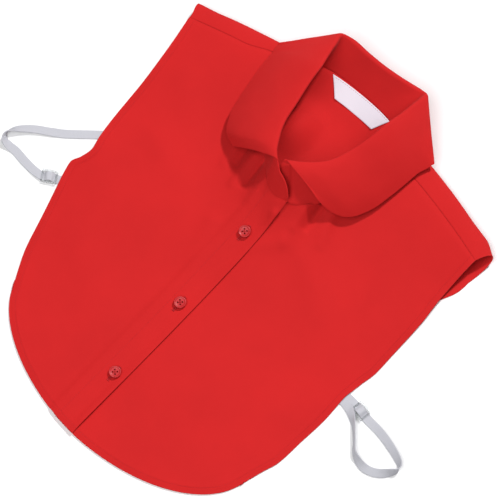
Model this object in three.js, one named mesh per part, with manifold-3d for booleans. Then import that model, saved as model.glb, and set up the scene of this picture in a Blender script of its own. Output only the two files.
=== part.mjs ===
// A detachable shirt front with a turned down collar, lying on its back as it is laid out on a table.
// Millimetres. +X is the wearer's left, +Y points from the hem to the neck, +Z is up from the table.
// The origin is on the underside of the back panel, at the middle of the chest on the button line.

import * as THREE from "three";
import { mergeVertices } from "three/addons/utils/BufferGeometryUtils.js";
import Module from "manifold-3d";

// Driving dimensions of the bib
const BODY_LENGTH = 383;
const BODY_WIDTH = 350;
const HEM_BELOW_ORIGIN = 192.5;
const HEM_DEPTH = 74.5;
const HEM_LOWEST_X = 16;
const HEM_ROUNDING_RIGHT_SIDE = 1.82;
const HEM_ROUNDING_LEFT_SIDE = 1.95;
const BACK_INSET = 7;
const PLACKET_WIDTH = 24.5;
const PLACKET_BOW = 1.2;
const LAP_STEEPNESS = 3.1;
const LAP_CLIMB_WIDTH = 6;
const LAP_CLEARANCE = 3;
const LAP_FADE_FIRST_TURN = 16;
const LAP_FADE_LAST_TURN = 30;

// Cloth and clearances
const BACK_THICKNESS = 1.2;
const FRONT_THICKNESS = 1.2;
const STAND_THICKNESS = 1.6;
const LEAF_THICKNESS = 1.6;
const LABEL_THICKNESS = 1.0;
const LAYER_GAP = 0.3;
const PLACKET_GAP = 0.45;
const SEAM_GAP = 1.0;

// Neck hole and the rise of the cloth around it
const NECK_WIDTH = 108;
const NECK_FRONT_DEPTH = 102;
const NECK_BACK_DEPTH = 24;
const NECK_CENTRE_X = -5;
const NECK_CENTRE_Y = 190;
const NECK_SKEW = 8;
const NECK_BACK_ROUNDING = 0.55;
const NECK_RISE = 22;
const NECK_RISE_AT_SIDES = 0.72;
const NECK_RISE_FADE = 3.6;
const BACK_NECK_HEIGHT = 5.5;
const BACK_NECK_DESCENT = 1.6;
const RIPPLE_HEIGHT = 1.1;
const RIPPLE_COUNT = 15;
const RIPPLE_FADE = 5.5;
const RIPPLE_ONSET = 12;

// Shoulders and armholes
const SHOULDER_RISE = 9.5;
const SHOULDER_FADE = 62;
const SEAM_TO_FOLD_RIGHT_SIDE = 11.5;
const SEAM_TO_FOLD_LEFT_SIDE = 18.5;
const SEAM_TO_FOLD_AT_NECK = 0.8;
const SHOULDER_TIP_DROP = 26;
const SHOULDER_ARCH = 3.1;
const ARMHOLE_PUFF = 5.5;
const ARMHOLE_PUFF_RADIUS = 42;
const ARMHOLE_CORNER_ROW = 5;
const CORNER_DENT = 2.5;
const CORNER_DENT_RADIUS = 22;

// Upper part of the back panel: where it leaves the table, how it bends up, and how it folds over
const BACK_LIFT_LENGTH = 45;
const BACK_LOW_HANDLE = 28;
const BACK_HIGH_HANDLE = 12;
const BACK_HIGH_HANDLE_DROP = 1.4;
const BACK_FOLD_LENGTH = 30;
const BACK_FOLD_CROWN = 1.2;
const BACK_SHOULDER_SHARE = 0.3;
const BACK_TIP_SHARE = 0.25;
const BACK_SIDE_BLEND = 0.14;
const BACK_NECK_BLEND_TURN = 10;

// Collar
const STAND_HEIGHT = 34;
const LEAF_WIDTH = 62;
const LEAF_LIFT = 8;
const LEAF_BULGE = 6;
const ROLL_LEG = 4.5;
const ROLL_GAP = 0.7;
const STAND_LAP_SHIFT = 1.5;
const STAND_END_DIP = 0.16;
const STAND_END_DIP_LENGTH = 0.3;
const STAND_END_ROUNDING = 0.98;
const STAND_END_HEIGHT = 4;
const LEAF_FIRST_HANDLE = 0.33;
const LEAF_SECOND_HANDLE = 0.7;
const LEAF_SECOND_FULLNESS = 0.8;
const TUCK_BACK_REACH = 5;
const TUCK_FOLD_HEIGHT = 0.25;
const TUCK_HANDLE_X = 0.4;
const TUCK_HANDLE_Y = 0.3;

// Buttons; in the profile, out is a share of the radius and high a share of the thickness
const BUTTON_DIAMETER = 11.5;
const BUTTON_THICKNESS = 2.6;
const BUTTON_RIM = 1.5;
const BUTTON_DISH = 0.7;
const BUTTON_SIDE = [
  { out: 0.72, high: 0 },
  { out: 1, high: 0.45 },
  { out: 0.97, high: 0.8 },
];
const BUTTON_HOLE_DIAMETER = 1.6;
const BUTTON_HOLE_SPACING = 3;
const BUTTON_PITCH = 87;
const BUTTON_SEAT = 0.45;
const BUTTON_SLANT = 1.2;
const TOP_BUTTON_Y = 47.5;

// Label
const LABEL_TOP_WIDTH = 68;
const LABEL_BOTTOM_WIDTH = 44;
const LABEL_HEIGHT = 17;
const LABEL_CENTRE_X = -8;
const LABEL_BELOW_SEAM = 1.5;
const LABEL_GAP = 0.5;

// Elastic loops and their slides
const ELASTIC_WIDTH = 8;
const ELASTIC_THICKNESS = 1;
const RIGHT_LOOP_REACH = 66;
const LEFT_LOOP_REACH = 84;
const SLIDE_THICKNESS = 1.5;
const SLIDE_BAR = 1.6;
const SLIDE_WINDOW = 4.9;
const SLIDE_SIDE_CLEARANCE = 0.6;
const SLIDE_CORNER_CUT = 1.3;
const SLIDE_ARCH_CLEARANCE = 0.4;

// Side edges of the bib, from the round of the hem up to the shoulder seam.
// up: share of BODY_LENGTH; rightSide, leftSide: shares of half of BODY_WIDTH;
// insetRight, insetLeft: how far the back panel lies inside, as shares of BACK_INSET.
const SIDES = [
  { up: 0.168, rightSide: 0.678, leftSide: 0.897, insetRight: 1, insetLeft: 1 },
  { up: 0.266, rightSide: 0.771, leftSide: 0.951, insetRight: 1, insetLeft: 1 },
  { up: 0.345, rightSide: 0.829, leftSide: 0.966, insetRight: 1, insetLeft: 1 },
  { up: 0.41, rightSide: 0.874, leftSide: 0.977, insetRight: 1, insetLeft: 1 },
  { up: 0.482, rightSide: 0.914, leftSide: 0.965, insetRight: 1, insetLeft: 1 },
  { up: 0.54, rightSide: 0.874, leftSide: 0.977, insetRight: 1, insetLeft: 1 },
  { up: 0.576, rightSide: 0.888, leftSide: 0.989, insetRight: 1, insetLeft: 1 },
  { up: 0.634, rightSide: 0.909, leftSide: 0.989, insetRight: 1, insetLeft: 1 },
  { up: 0.745, rightSide: 0.926, leftSide: 0.983, insetRight: 1, insetLeft: 1 },
  { up: 0.81, rightSide: 0.942, leftSide: 0.978, insetRight: 1, insetLeft: 0.35 },
  { up: 0.871, rightSide: 0.963, leftSide: 0.969, insetRight: 0.7, insetLeft: -0.75 },
  { up: 0.934, rightSide: 0.983, leftSide: 0.98, insetRight: 0, insetLeft: -1.6 },
];

// Where the stand leans, at stations from its front end on the wearer's right, round the back, to the
// other end. turn: degrees round the neck from the throat; x, y, z: from the neck seam to the fold,
// as shares of STAND_HEIGHT.
const STAND_LEAN = [
  { turn: 8, x: -0.32, y: 0.63, z: 0.59 },
  { turn: 18, x: -0.26, y: 0.71, z: 0.65 },
  { turn: 28, x: -0.16, y: 0.76, z: 0.72 },
  { turn: 45, x: 0.08, y: 0.65, z: 0.74 },
  { turn: 65, x: 0.36, y: 0.38, z: 0.76 },
  { turn: 85, x: 0.44, y: 0.15, z: 0.79 },
  { turn: 105, x: 0.35, y: 0.2, z: 0.79 },
  { turn: 125, x: 0.04, y: 0.57, z: 0.75 },
  { turn: 140, x: -0.28, y: 0.86, z: 0.68 },
  { turn: 152, x: -0.19, y: 0.87, z: 0.63 },
  { turn: 165, x: -0.05, y: 0.81, z: 0.62 },
  { turn: 180, x: 0.1, y: 0.81, z: 0.6 },
  { turn: 195, x: 0.25, y: 0.87, z: 0.62 },
  { turn: 208, x: 0.46, y: 0.99, z: 0.6 },
  { turn: 220, x: 0.4, y: 1.06, z: 0.65 },
  { turn: 235, x: 0.04, y: 0.71, z: 0.74 },
  { turn: 255, x: -0.33, y: 0.31, z: 0.79 },
  { turn: 275, x: -0.54, y: 0.15, z: 0.84 },
  { turn: 295, x: -0.65, y: 0.38, z: 0.78 },
  { turn: 315, x: -0.65, y: 0.59, z: 0.74 },
  { turn: 332, x: -0.69, y: 0.71, z: 0.71 },
  { turn: 346, x: -0.64, y: 0.76, z: 0.67 },
  { turn: 360, x: -0.47, y: 0.74, z: 0.65 },
];

// How the leaf falls from the fold. x, y: from the fold to its edge, as shares of LEAF_WIDTH;
// lift: the edge's height over the cloth below, as a share of LEAF_LIFT;
// tuck: 1 where the leaf is turned under the back panel; bulge: share of LEAF_BULGE.
const LEAF_FALL = [
  { turn: 8, x: -0.73, y: -0.16, lift: 0.9, tuck: 0, bulge: 1.3 },
  { turn: 18, x: -0.85, y: -0.17, lift: 0.8, tuck: 0, bulge: 1.4 },
  { turn: 28, x: -0.9, y: -0.13, lift: 0.7, tuck: 0, bulge: 1.1 },
  { turn: 45, x: -0.87, y: -0.1, lift: 0.55, tuck: 0, bulge: 1 },
  { turn: 65, x: -0.855, y: -0.08, lift: 0.4, tuck: 0, bulge: 1 },
  { turn: 85, x: -0.81, y: -0.13, lift: 0.3, tuck: 0, bulge: 1 },
  { turn: 105, x: -0.76, y: -0.29, lift: 0.3, tuck: 0, bulge: 0.9 },
  { turn: 125, x: -0.69, y: -0.5, lift: 0.3, tuck: 0, bulge: 0.5 },
  { turn: 140, x: -0.63, y: -0.66, lift: 0.4, tuck: 0, bulge: 0 },
  { turn: 152, x: -0.52, y: -0.61, lift: 0, tuck: 1, bulge: 0 },
  { turn: 165, x: -0.13, y: -0.56, lift: 0, tuck: 1, bulge: 0 },
  { turn: 180, x: 0, y: -0.56, lift: 0, tuck: 1, bulge: 0 },
  { turn: 195, x: 0.1, y: -0.56, lift: 0, tuck: 1, bulge: 0 },
  { turn: 208, x: 0.53, y: -0.63, lift: 0, tuck: 1, bulge: 0 },
  { turn: 220, x: 0.71, y: -0.65, lift: 0.4, tuck: 0, bulge: 0 },
  { turn: 235, x: 0.74, y: -0.48, lift: 0.35, tuck: 0, bulge: 0.5 },
  { turn: 255, x: 0.74, y: -0.27, lift: 0.3, tuck: 0, bulge: 0.9 },
  { turn: 275, x: 0.74, y: -0.13, lift: 0.4, tuck: 0, bulge: 1 },
  { turn: 295, x: 0.79, y: -0.05, lift: 0.5, tuck: 0, bulge: 1 },
  { turn: 315, x: 0.855, y: -0.02, lift: 0.6, tuck: 0, bulge: 1.4 },
  { turn: 332, x: 0.92, y: -0.08, lift: 0.75, tuck: 0, bulge: 1.7 },
  { turn: 346, x: 0.89, y: -0.1, lift: 0.9, tuck: 0, bulge: 1.6 },
  { turn: 360, x: 0.74, y: -0.09, lift: 1, tuck: 0, bulge: 1.1 },
];
const COLLAR_FIRST_TURN = STAND_LEAN[0].turn;
const COLLAR_LAST_TURN = STAND_LEAN.at(-1).turn;
const STAND_FIRST_TURN = -11;
const STAND_LAST_TURN = 373;

// Routes of the elastics from the front's edge out and back.
// out, along: shares of the loop's reach; tilt: degrees of roll about the elastic's own length.
const RIGHT_LOOP = [
  { out: -0.045, along: 0.46, tilt: 0 },
  { out: 0.3, along: 0.235, tilt: 0 },
  { out: 0.65, along: -0.015, tilt: 0 },
  { out: 0.89, along: -0.2, tilt: 35 },
  { out: 1.0, along: -0.38, tilt: 90 },
  { out: 0.94, along: -0.51, tilt: 145 },
  { out: 0.73, along: -0.58, tilt: 180 },
  { out: 0.455, along: -0.59, tilt: 180 },
  { out: 0.26, along: -0.53, tilt: 180 },
  { out: 0.12, along: -0.46, tilt: 180 },
  { out: -0.045, along: -0.39, tilt: 180 },
];
const LEFT_LOOP = [
  { out: -0.035, along: 0.09, tilt: 0 },
  { out: 0.11, along: 0.07, tilt: 0 },
  { out: 0.31, along: 0.04, tilt: 0 },
  { out: 0.535, along: 0.02, tilt: 0 },
  { out: 0.74, along: -0.01, tilt: 12 },
  { out: 0.905, along: -0.1, tilt: 45 },
  { out: 0.99, along: -0.215, tilt: 90 },
  { out: 0.97, along: -0.32, tilt: 125 },
  { out: 0.88, along: -0.395, tilt: 170 },
  { out: 0.69, along: -0.415, tilt: 180 },
  { out: 0.525, along: -0.355, tilt: 165 },
  { out: 0.37, along: -0.25, tilt: 130 },
  { out: 0.225, along: -0.15, tilt: 125 },
  { out: 0.085, along: -0.1, tilt: 177 },
  { out: -0.035, along: -0.09, tilt: 180 },
];
const RIGHT_LOOP_CENTRE_UP = 0.508;
const LEFT_LOOP_CENTRE_UP = 0.482;
const RIGHT_SLIDE_OUT = 0.15;
const LEFT_SLIDE_OUT = 0.24;

// How finely each surface is divided
const FRONT_ACROSS = 14;
const FRONT_PLACKET_ROWS = 15;
const FRONT_NECK_ROWS = 11;
const ROW_CROWDING = 1.4;
const BACK_ACROSS = 34;
const BACK_FLAT_ROWS = 12;
const BACK_WRAP_ROWS = 8;
const STAND_ROWS = 3;
const LEAF_ROLL_ROWS = 3;
const LEAF_ROWS = 6;
const STAND_FIRST_END_STEPS = [0, 0.25, 0.5, 0.75];
const STAND_LAST_END_STEPS = [0.35, 0.7, 1];
const LABEL_ROWS = 4;
const LABEL_ACROSS = 10;
const LOOP_STEPS = 48;
const LOOP_ARCH_STEPS = 6;
const LOOP_ARCH_MARGIN = 1.15;
const LOOP_SEARCH_STEPS = 400;
const BUTTON_SIDES = 24;
const BUTTON_HOLE_SIDES = 8;
const HALVINGS = 40;

const degrees = THREE.MathUtils.degToRad;
const mix = THREE.MathUtils.lerp;

const frontBase = BACK_THICKNESS + LAYER_GAP;
const layerStep = FRONT_THICKNESS + PLACKET_GAP;
const halfBody = BODY_WIDTH / 2;
const halfPlacket = PLACKET_WIDTH / 2;
const halfNeck = NECK_WIDTH / 2;
const up = new THREE.Vector3(0, 0, 1);

// Smooth step from 0 to 1 while a value goes from one limit to the other
function ease(from, to, value) {
  const share = THREE.MathUtils.clamp((value - from) / (to - from), 0, 1);
  return share * share * (3 - 2 * share);
}

// Value of one column of a table at a place between its rows, on a smooth curve through them
function readTable(rows, placeKey, valueKey, place) {
  const last = rows.length - 1;
  let index = rows.findIndex((row) => row[placeKey] > place) - 1;
  if (index < 0) {
    index = place <= rows[0][placeKey] ? 0 : last - 1;
  }
  const slopeAt = (at) => {
    const before = rows[Math.max(at - 1, 0)];
    const after = rows[Math.min(at + 1, last)];
    return (after[valueKey] - before[valueKey]) / (after[placeKey] - before[placeKey]);
  };
  const start = rows[index];
  const end = rows[index + 1];
  const span = end[placeKey] - start[placeKey];
  const share = THREE.MathUtils.clamp((place - start[placeKey]) / span, 0, 1);
  const squared = share * share;
  const cubed = squared * share;
  return start[valueKey] * (2 * cubed - 3 * squared + 1)
    + slopeAt(index) * span * (cubed - 2 * squared + share)
    + end[valueKey] * (3 * squared - 2 * cubed)
    + slopeAt(index + 1) * span * (cubed - squared);
}

// Place between two limits where a rising value reaches a target
function findPlace(low, high, target, valueAt) {
  let [below, above] = [low, high];
  for (let step = 0; step < HALVINGS; step += 1) {
    const middle = (below + above) / 2;
    if (valueAt(middle) < target) {
      below = middle;
    } else {
      above = middle;
    }
  }
  return (below + above) / 2;
}

// Share of the lapped placket's height that a place on the neck seam has
function lapAt(turn) {
  return 1 - ease(LAP_FADE_FIRST_TURN, LAP_FADE_LAST_TURN, turn);
}

// Point on the neck seam in plan; lap is 1 on the half that lies on top at the throat
function neckSeam(turn, lap = 0) {
  const angle = degrees(turn);
  const forward = Math.cos(angle);
  const x = NECK_CENTRE_X - halfNeck * Math.sin(angle) + NECK_SKEW * forward;
  const y = forward > 0
    ? NECK_CENTRE_Y - NECK_FRONT_DEPTH * forward - lap * STAND_LAP_SHIFT
    : NECK_CENTRE_Y + NECK_BACK_DEPTH * Math.abs(forward) ** NECK_BACK_ROUNDING;
  return new THREE.Vector2(x, y);
}

// How far a point lies outside the neck hole, 1 on its edge, and its angle from the throat
function neckPolar(x, y) {
  const forward = (NECK_CENTRE_Y - y) / NECK_FRONT_DEPTH;
  const side = (x - NECK_CENTRE_X - NECK_SKEW * forward) / halfNeck;
  const ahead = Math.max(forward, 0);
  return { radius: Math.max(Math.hypot(side, ahead), 1), angle: Math.atan2(side, ahead) };
}

const rightTip = new THREE.Vector2(-halfBody * SIDES.at(-1).rightSide, 0);
const leftTip = new THREE.Vector2(halfBody * SIDES.at(-1).leftSide, 0);
rightTip.y = leftTip.y = NECK_CENTRE_Y - SHOULDER_TIP_DROP;
const rightNeckPoint = neckSeam(90);
const leftNeckPoint = neckSeam(270);

// The shoulder seam in plan, slightly arched, from the neck point at 0 to the tip at 1
function shoulderSeam(side, share) {
  const neckPoint = side < 0 ? rightNeckPoint : leftNeckPoint;
  const tip = side < 0 ? rightTip : leftTip;
  const arch = SHOULDER_ARCH * Math.sin(Math.PI * share);
  return new THREE.Vector2(mix(neckPoint.x, tip.x, share), mix(neckPoint.y, tip.y, share) + arch);
}

function shoulderSeamY(x) {
  const side = x < NECK_CENTRE_X ? -1 : 1;
  const neckPoint = side < 0 ? rightNeckPoint : leftNeckPoint;
  const tip = side < 0 ? rightTip : leftTip;
  const share = THREE.MathUtils.clamp((x - neckPoint.x) / (tip.x - neckPoint.x), 0, 1);
  return shoulderSeam(side, share).y;
}

// Height of the front's underside over the table
function frontHeight(x, y) {
  const { radius, angle } = neckPolar(x, y);
  const atSides = mix(NECK_RISE_AT_SIDES, 1, Math.cos(angle) ** 2);
  const neck = NECK_RISE * atSides * Math.exp(-NECK_RISE_FADE * (radius - 1));
  const below = Math.max(shoulderSeamY(x) - y, 0);
  const shoulder = SHOULDER_RISE * Math.exp(-((below / SHOULDER_FADE) ** 2));
  const toPuff = Math.hypot(x - leftTip.x, y - leftTip.y) / ARMHOLE_PUFF_RADIUS;
  const puff = ARMHOLE_PUFF * Math.exp(-(toPuff ** 2));
  const corner = SIDES[ARMHOLE_CORNER_ROW];
  const dentX = -halfBody * corner.rightSide;
  const dentY = corner.up * BODY_LENGTH - HEM_BELOW_ORIGIN;
  const toDent = Math.hypot(x - dentX, y - dentY) / CORNER_DENT_RADIUS;
  const dent = CORNER_DENT * Math.exp(-(toDent ** 2));
  const atRipples = Math.exp(-RIPPLE_FADE * (radius - 1)) * (1 - Math.exp(-RIPPLE_ONSET * (radius - 1)));
  const inFront = Math.max(Math.cos(angle), 0);
  const ripple = RIPPLE_HEIGHT * atRipples * inFront * (1 + Math.cos(RIPPLE_COUNT * angle));
  return frontBase + Math.hypot(neck, shoulder) + puff + dent + ripple;
}

// Slope of the front at a point, as its upright direction
function frontNormal(x, y) {
  const step = 1;
  const slopeX = (frontHeight(x + step, y) - frontHeight(x - step, y)) / (2 * step);
  const slopeY = (frontHeight(x, y + step) - frontHeight(x, y - step)) / (2 * step);
  return new THREE.Vector3(-slopeX, -slopeY, 1).normalize();
}

// How much higher the top layer lies where the front is double; steep cloth needs more height
function lapStep(x, y) {
  return layerStep / frontNormal(x, y).z ** LAP_STEEPNESS;
}

// Height of the neck seam's middle line
function neckSeamHeight(turn, lap = 0) {
  const folded = Math.min(turn, 360 - turn);
  const front = neckSeam(turn);
  if (folded <= 90) {
    return frontHeight(front.x, front.y) + FRONT_THICKNESS / 2 + lap * lapStep(front.x, front.y);
  }
  const side = turn < 180 ? rightNeckPoint : leftNeckPoint;
  const sideHeight = frontHeight(side.x, side.y) + FRONT_THICKNESS / 2;
  const share = (folded - 90) / 90;
  return mix(BACK_NECK_HEIGHT, sideHeight, (1 - share) ** BACK_NECK_DESCENT);
}

function neckSeamPoint(turn, lap = 0) {
  const plan = neckSeam(turn, lap);
  return new THREE.Vector3(plan.x, plan.y, neckSeamHeight(turn, lap));
}

// Outline of the bib in plan
const cornerY = SIDES[0].up * BODY_LENGTH - HEM_BELOW_ORIGIN;
const hemCentreY = HEM_DEPTH - HEM_BELOW_ORIGIN;

function sidePoint(side, upShare, insetScale = 0) {
  const edge = readTable(SIDES, "up", side < 0 ? "rightSide" : "leftSide", upShare);
  const inset = readTable(SIDES, "up", side < 0 ? "insetRight" : "insetLeft", upShare);
  return new THREE.Vector2(
    side * (halfBody * edge - BACK_INSET * inset * insetScale),
    upShare * BODY_LENGTH - HEM_BELOW_ORIGIN,
  );
}

// The hem is two quarters of a rounded curve that meet at its lowest point; place runs from -1 to 1
function hemPoint(place, insetScale = 0) {
  const side = place < 0 ? -1 : 1;
  const power = side < 0 ? HEM_ROUNDING_RIGHT_SIDE : HEM_ROUNDING_LEFT_SIDE;
  const inset = BACK_INSET * insetScale;
  const depth = HEM_DEPTH - inset;
  const cornerDrop = (hemCentreY - cornerY) / depth;
  const cornerReach = Math.abs(sidePoint(side, SIDES[0].up, insetScale).x - HEM_LOWEST_X);
  const reach = cornerReach / (1 - cornerDrop ** power) ** (1 / power);
  const lastAngle = Math.acos(cornerDrop ** (power / 2));
  const angle = Math.abs(place) * lastAngle;
  return new THREE.Vector2(
    HEM_LOWEST_X + side * reach * Math.sin(angle) ** (2 / power),
    hemCentreY - depth * Math.cos(angle) ** (2 / power),
  );
}

function hemPlaceAt(x) {
  return findPlace(-1, 1, x, (place) => hemPoint(place).x);
}

// Fills the area between four border curves; each takes a share from 0 to 1 and gives a plan point
function fillPatch(bottom, top, inner, outer, across, along) {
  const corner = (curve, share) => curve(share).clone();
  const cornerA = corner(bottom, 0);
  const cornerB = corner(bottom, 1);
  const cornerC = corner(top, 0);
  const cornerD = corner(top, 1);
  const point = bottom(across).clone().multiplyScalar(1 - along);
  point.addScaledVector(top(across), along);
  point.addScaledVector(inner(along), 1 - across);
  point.addScaledVector(outer(along), across);
  point.addScaledVector(cornerA, -(1 - across) * (1 - along));
  point.addScaledVector(cornerB, -across * (1 - along));
  point.addScaledVector(cornerC, -(1 - across) * along);
  point.addScaledVector(cornerD, -across * along);
  return point;
}

// Closed solid of even thickness around a grid of points on its middle surface
function clothSolid(grid, thickness) {
  const rows = grid.length;
  const columns = grid[0].length;
  const positions = [];
  const offset = new THREE.Vector3();
  for (const face of [1, -1]) {
    for (let row = 0; row < rows; row += 1) {
      for (let column = 0; column < columns; column += 1) {
        const acrossStep = new THREE.Vector3().subVectors(
          grid[row][Math.min(column + 1, columns - 1)], grid[row][Math.max(column - 1, 0)]);
        const alongStep = new THREE.Vector3().subVectors(
          grid[Math.min(row + 1, rows - 1)][column], grid[Math.max(row - 1, 0)][column]);
        offset.crossVectors(acrossStep, alongStep).setLength(face * thickness / 2);
        positions.push(...offset.add(grid[row][column]).toArray());
      }
    }
  }
  const at = (face, row, column) => (face * rows + row) * columns + column;
  const indices = [];
  const quad = (a, b, c, d) => indices.push(a, b, c, a, c, d);
  for (let row = 0; row < rows - 1; row += 1) {
    for (let column = 0; column < columns - 1; column += 1) {
      quad(at(0, row, column), at(0, row, column + 1), at(0, row + 1, column + 1), at(0, row + 1, column));
      quad(at(1, row, column), at(1, row + 1, column), at(1, row + 1, column + 1), at(1, row, column + 1));
    }
    const end = columns - 1;
    quad(at(0, row, 0), at(0, row + 1, 0), at(1, row + 1, 0), at(1, row, 0));
    quad(at(0, row, end), at(1, row, end), at(1, row + 1, end), at(0, row + 1, end));
  }
  for (let column = 0; column < columns - 1; column += 1) {
    const end = rows - 1;
    quad(at(0, 0, column), at(1, 0, column), at(1, 0, column + 1), at(0, 0, column + 1));
    quad(at(0, end, column), at(0, end, column + 1), at(1, end, column + 1), at(1, end, column));
  }
  return closedGeometry(positions, indices);
}

// Geometry from points and triangles, turned right side out
function closedGeometry(positions, indices) {
  const corner = (index) => new THREE.Vector3().fromArray(positions, 3 * index);
  let volume = 0;
  for (let index = 0; index < indices.length; index += 3) {
    const [a, b, c] = [0, 1, 2].map((step) => corner(indices[index + step]));
    volume += a.dot(b.cross(c));
  }
  const facing = volume > 0 ? indices : indices.toReversed();
  const geometry = new THREE.BufferGeometry();
  geometry.setAttribute("position", new THREE.Float32BufferAttribute(positions, 3));
  geometry.setIndex(facing);
  geometry.computeVertexNormals();
  return geometry;
}

// One half of the front, as a grid on its middle surface; side -1 is the wearer's right, on top
function frontGrid(side) {
  const onTop = side < 0;
  const climbEnd = -halfPlacket - LAP_CLEARANCE;
  const firstTurn = onTop ? STAND_FIRST_TURN : STAND_LAST_TURN;
  const neckTurn = onTop ? 90 : 270;
  const placketTop = neckSeam(firstTurn, lapAt(firstTurn));
  const hemStart = hemPlaceAt(onTop ? halfPlacket : -halfPlacket);
  const placketBottom = hemPoint(hemStart);
  const placketShare = FRONT_PLACKET_ROWS / (FRONT_PLACKET_ROWS + FRONT_NECK_ROWS);
  const inner = (share) => {
    if (share <= placketShare) {
      const along = share / placketShare;
      const bow = onTop ? PLACKET_BOW * Math.sin(Math.PI * along) : 0;
      return new THREE.Vector2(
        mix(placketBottom.x, placketTop.x, along) + bow, mix(placketBottom.y, placketTop.y, along));
    }
    const turn = mix(firstTurn, neckTurn, (share - placketShare) / (1 - placketShare));
    return neckSeam(turn, lapAt(turn));
  };
  const outer = (share) => {
    const point = sidePoint(side, mix(SIDES[0].up, SIDES.at(-1).up, share));
    const tip = onTop ? rightTip : leftTip;
    point.y += (tip.y - (SIDES.at(-1).up * BODY_LENGTH - HEM_BELOW_ORIGIN)) * share ** 4;
    return point;
  };
  const bottom = (share) => hemPoint(mix(hemStart, side, share));
  const top = (share) => shoulderSeam(side, share);

  const alongs = [];
  for (let row = 0; row < FRONT_PLACKET_ROWS; row += 1) {
    alongs.push(placketShare * (1 - (1 - row / FRONT_PLACKET_ROWS) ** ROW_CROWDING));
  }
  for (let row = 0; row <= FRONT_NECK_ROWS; row += 1) {
    alongs.push(mix(placketShare, 1, row / FRONT_NECK_ROWS));
  }
  return alongs.map((along) => Array.from({ length: FRONT_ACROSS + 1 }, (_, column) => {
    const plan = fillPatch(bottom, top, inner, outer, column / FRONT_ACROSS, along);
    const climbed = ease(climbEnd - LAP_CLIMB_WIDTH, climbEnd, plan.x);
    const step = onTop ? lapStep(plan.x, plan.y) * climbed : 0;
    return new THREE.Vector3(plan.x, plan.y, frontHeight(plan.x, plan.y) + FRONT_THICKNESS / 2 + step);
  }));
}

// Upper edge of the back panel, from the right shoulder's tip round the neck to the left one's
function backTopEdge(share) {
  const shoulderShare = BACK_SHOULDER_SHARE;
  const sideToFold = mix(SEAM_TO_FOLD_RIGHT_SIDE, SEAM_TO_FOLD_LEFT_SIDE, ease(0.4, 0.6, share));
  const towardsTip = Math.max(1 - Math.min(share, 1 - share) / shoulderShare, 0);
  const toFold = sideToFold * mix(SEAM_TO_FOLD_AT_NECK, 1, towardsTip);
  if (share < shoulderShare || share > 1 - shoulderShare) {
    const side = share < shoulderShare ? -1 : 1;
    const plan = shoulderSeam(side, towardsTip);
    const past = BACK_INSET * -SIDES.at(-1)[side < 0 ? "insetRight" : "insetLeft"];
    plan.x += side * past * ease(1 - BACK_TIP_SHARE, 1, towardsTip);
    const height = frontHeight(plan.x, plan.y) + FRONT_THICKNESS / 2;
    const point = new THREE.Vector3(plan.x, plan.y + SEAM_GAP, height);
    return { point, foldY: point.y + toFold, toFold };
  }
  const turn = mix(90, 270, (share - shoulderShare) / (1 - 2 * shoulderShare));
  const folded = Math.min(turn, 360 - turn);
  const point = neckSeamPoint(turn);
  point.y += SEAM_GAP * (1 - ease(90, 90 + BACK_NECK_BLEND_TURN, folded));
  return { point, foldY: Math.max(point.y, NECK_CENTRE_Y + SEAM_GAP + toFold), toFold };
}

// Four control points of the back panel's upper part at one place along its upper edge
function backSection(share) {
  const { point, foldY, toFold } = backTopEdge(share);
  const wrap = (foldY - point.y) / toFold;
  const lying = BACK_THICKNESS / 2;
  const flatY = mix(point.y - BACK_LIFT_LENGTH, foldY - BACK_FOLD_LENGTH, wrap);
  const reachY = foldY + ((foldY - flatY) + (foldY - point.y)) / 6;
  const first = new THREE.Vector3(point.x, flatY, lying);
  const second = new THREE.Vector3(point.x, mix(point.y - BACK_LOW_HANDLE, reachY, wrap), lying);
  const third = new THREE.Vector3(
    point.x, mix(point.y - BACK_HIGH_HANDLE, reachY, wrap),
    point.z + mix(-BACK_HIGH_HANDLE_DROP, BACK_FOLD_CROWN, wrap));
  return new THREE.CubicBezierCurve3(first, second, third, point);
}

function backGrid() {
  const sections = Array.from({ length: BACK_ACROSS + 1 }, (_, column) => backSection(column / BACK_ACROSS));
  const topLine = (share) => {
    const at = sections[Math.round(share * BACK_ACROSS)].v0;
    return new THREE.Vector2(at.x, at.y);
  };
  const sideOf = (side) => (share) => {
    const lastUp = (topLine(side < 0 ? 0 : 1).y + HEM_BELOW_ORIGIN) / BODY_LENGTH;
    const upShare = mix(SIDES[0].up, lastUp, share);
    const point = sidePoint(side, upShare, 1);
    point.x = mix(point.x, topLine(side < 0 ? 0 : 1).x, ease(1 - BACK_SIDE_BLEND, 1, share));
    return point;
  };
  const bottom = (share) => hemPoint(mix(-1, 1, share), 1);
  const grid = [];
  for (let row = 0; row < BACK_FLAT_ROWS; row += 1) {
    const along = row / BACK_FLAT_ROWS;
    const line = [];
    for (let column = 0; column <= BACK_ACROSS; column += 1) {
      const plan = fillPatch(bottom, topLine, sideOf(-1), sideOf(1), column / BACK_ACROSS, along);
      line.push(new THREE.Vector3(plan.x, plan.y, BACK_THICKNESS / 2));
    }
    grid.push(line);
  }
  for (let row = 0; row <= BACK_WRAP_ROWS; row += 1) {
    grid.push(sections.map((section) => section.getPoint(row / BACK_WRAP_ROWS)));
  }
  return grid;
}

// Direction and length of the stand at one station, from the seam to the fold
function standLean(turn) {
  const at = THREE.MathUtils.clamp(turn, COLLAR_FIRST_TURN, COLLAR_LAST_TURN);
  const lean = ["x", "y", "z"].map((key) => readTable(STAND_LEAN, "turn", key, at));
  return new THREE.Vector3(...lean).multiplyScalar(STAND_HEIGHT);
}

function collarTurns(first, last) {
  const turns = [];
  for (let index = 0; index < STAND_LEAN.length - 1; index += 1) {
    const turn = STAND_LEAN[index].turn;
    turns.push(turn, (turn + STAND_LEAN[index + 1].turn) / 2);
  }
  turns.push(COLLAR_LAST_TURN);
  return [...first, ...turns, ...last];
}

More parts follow.
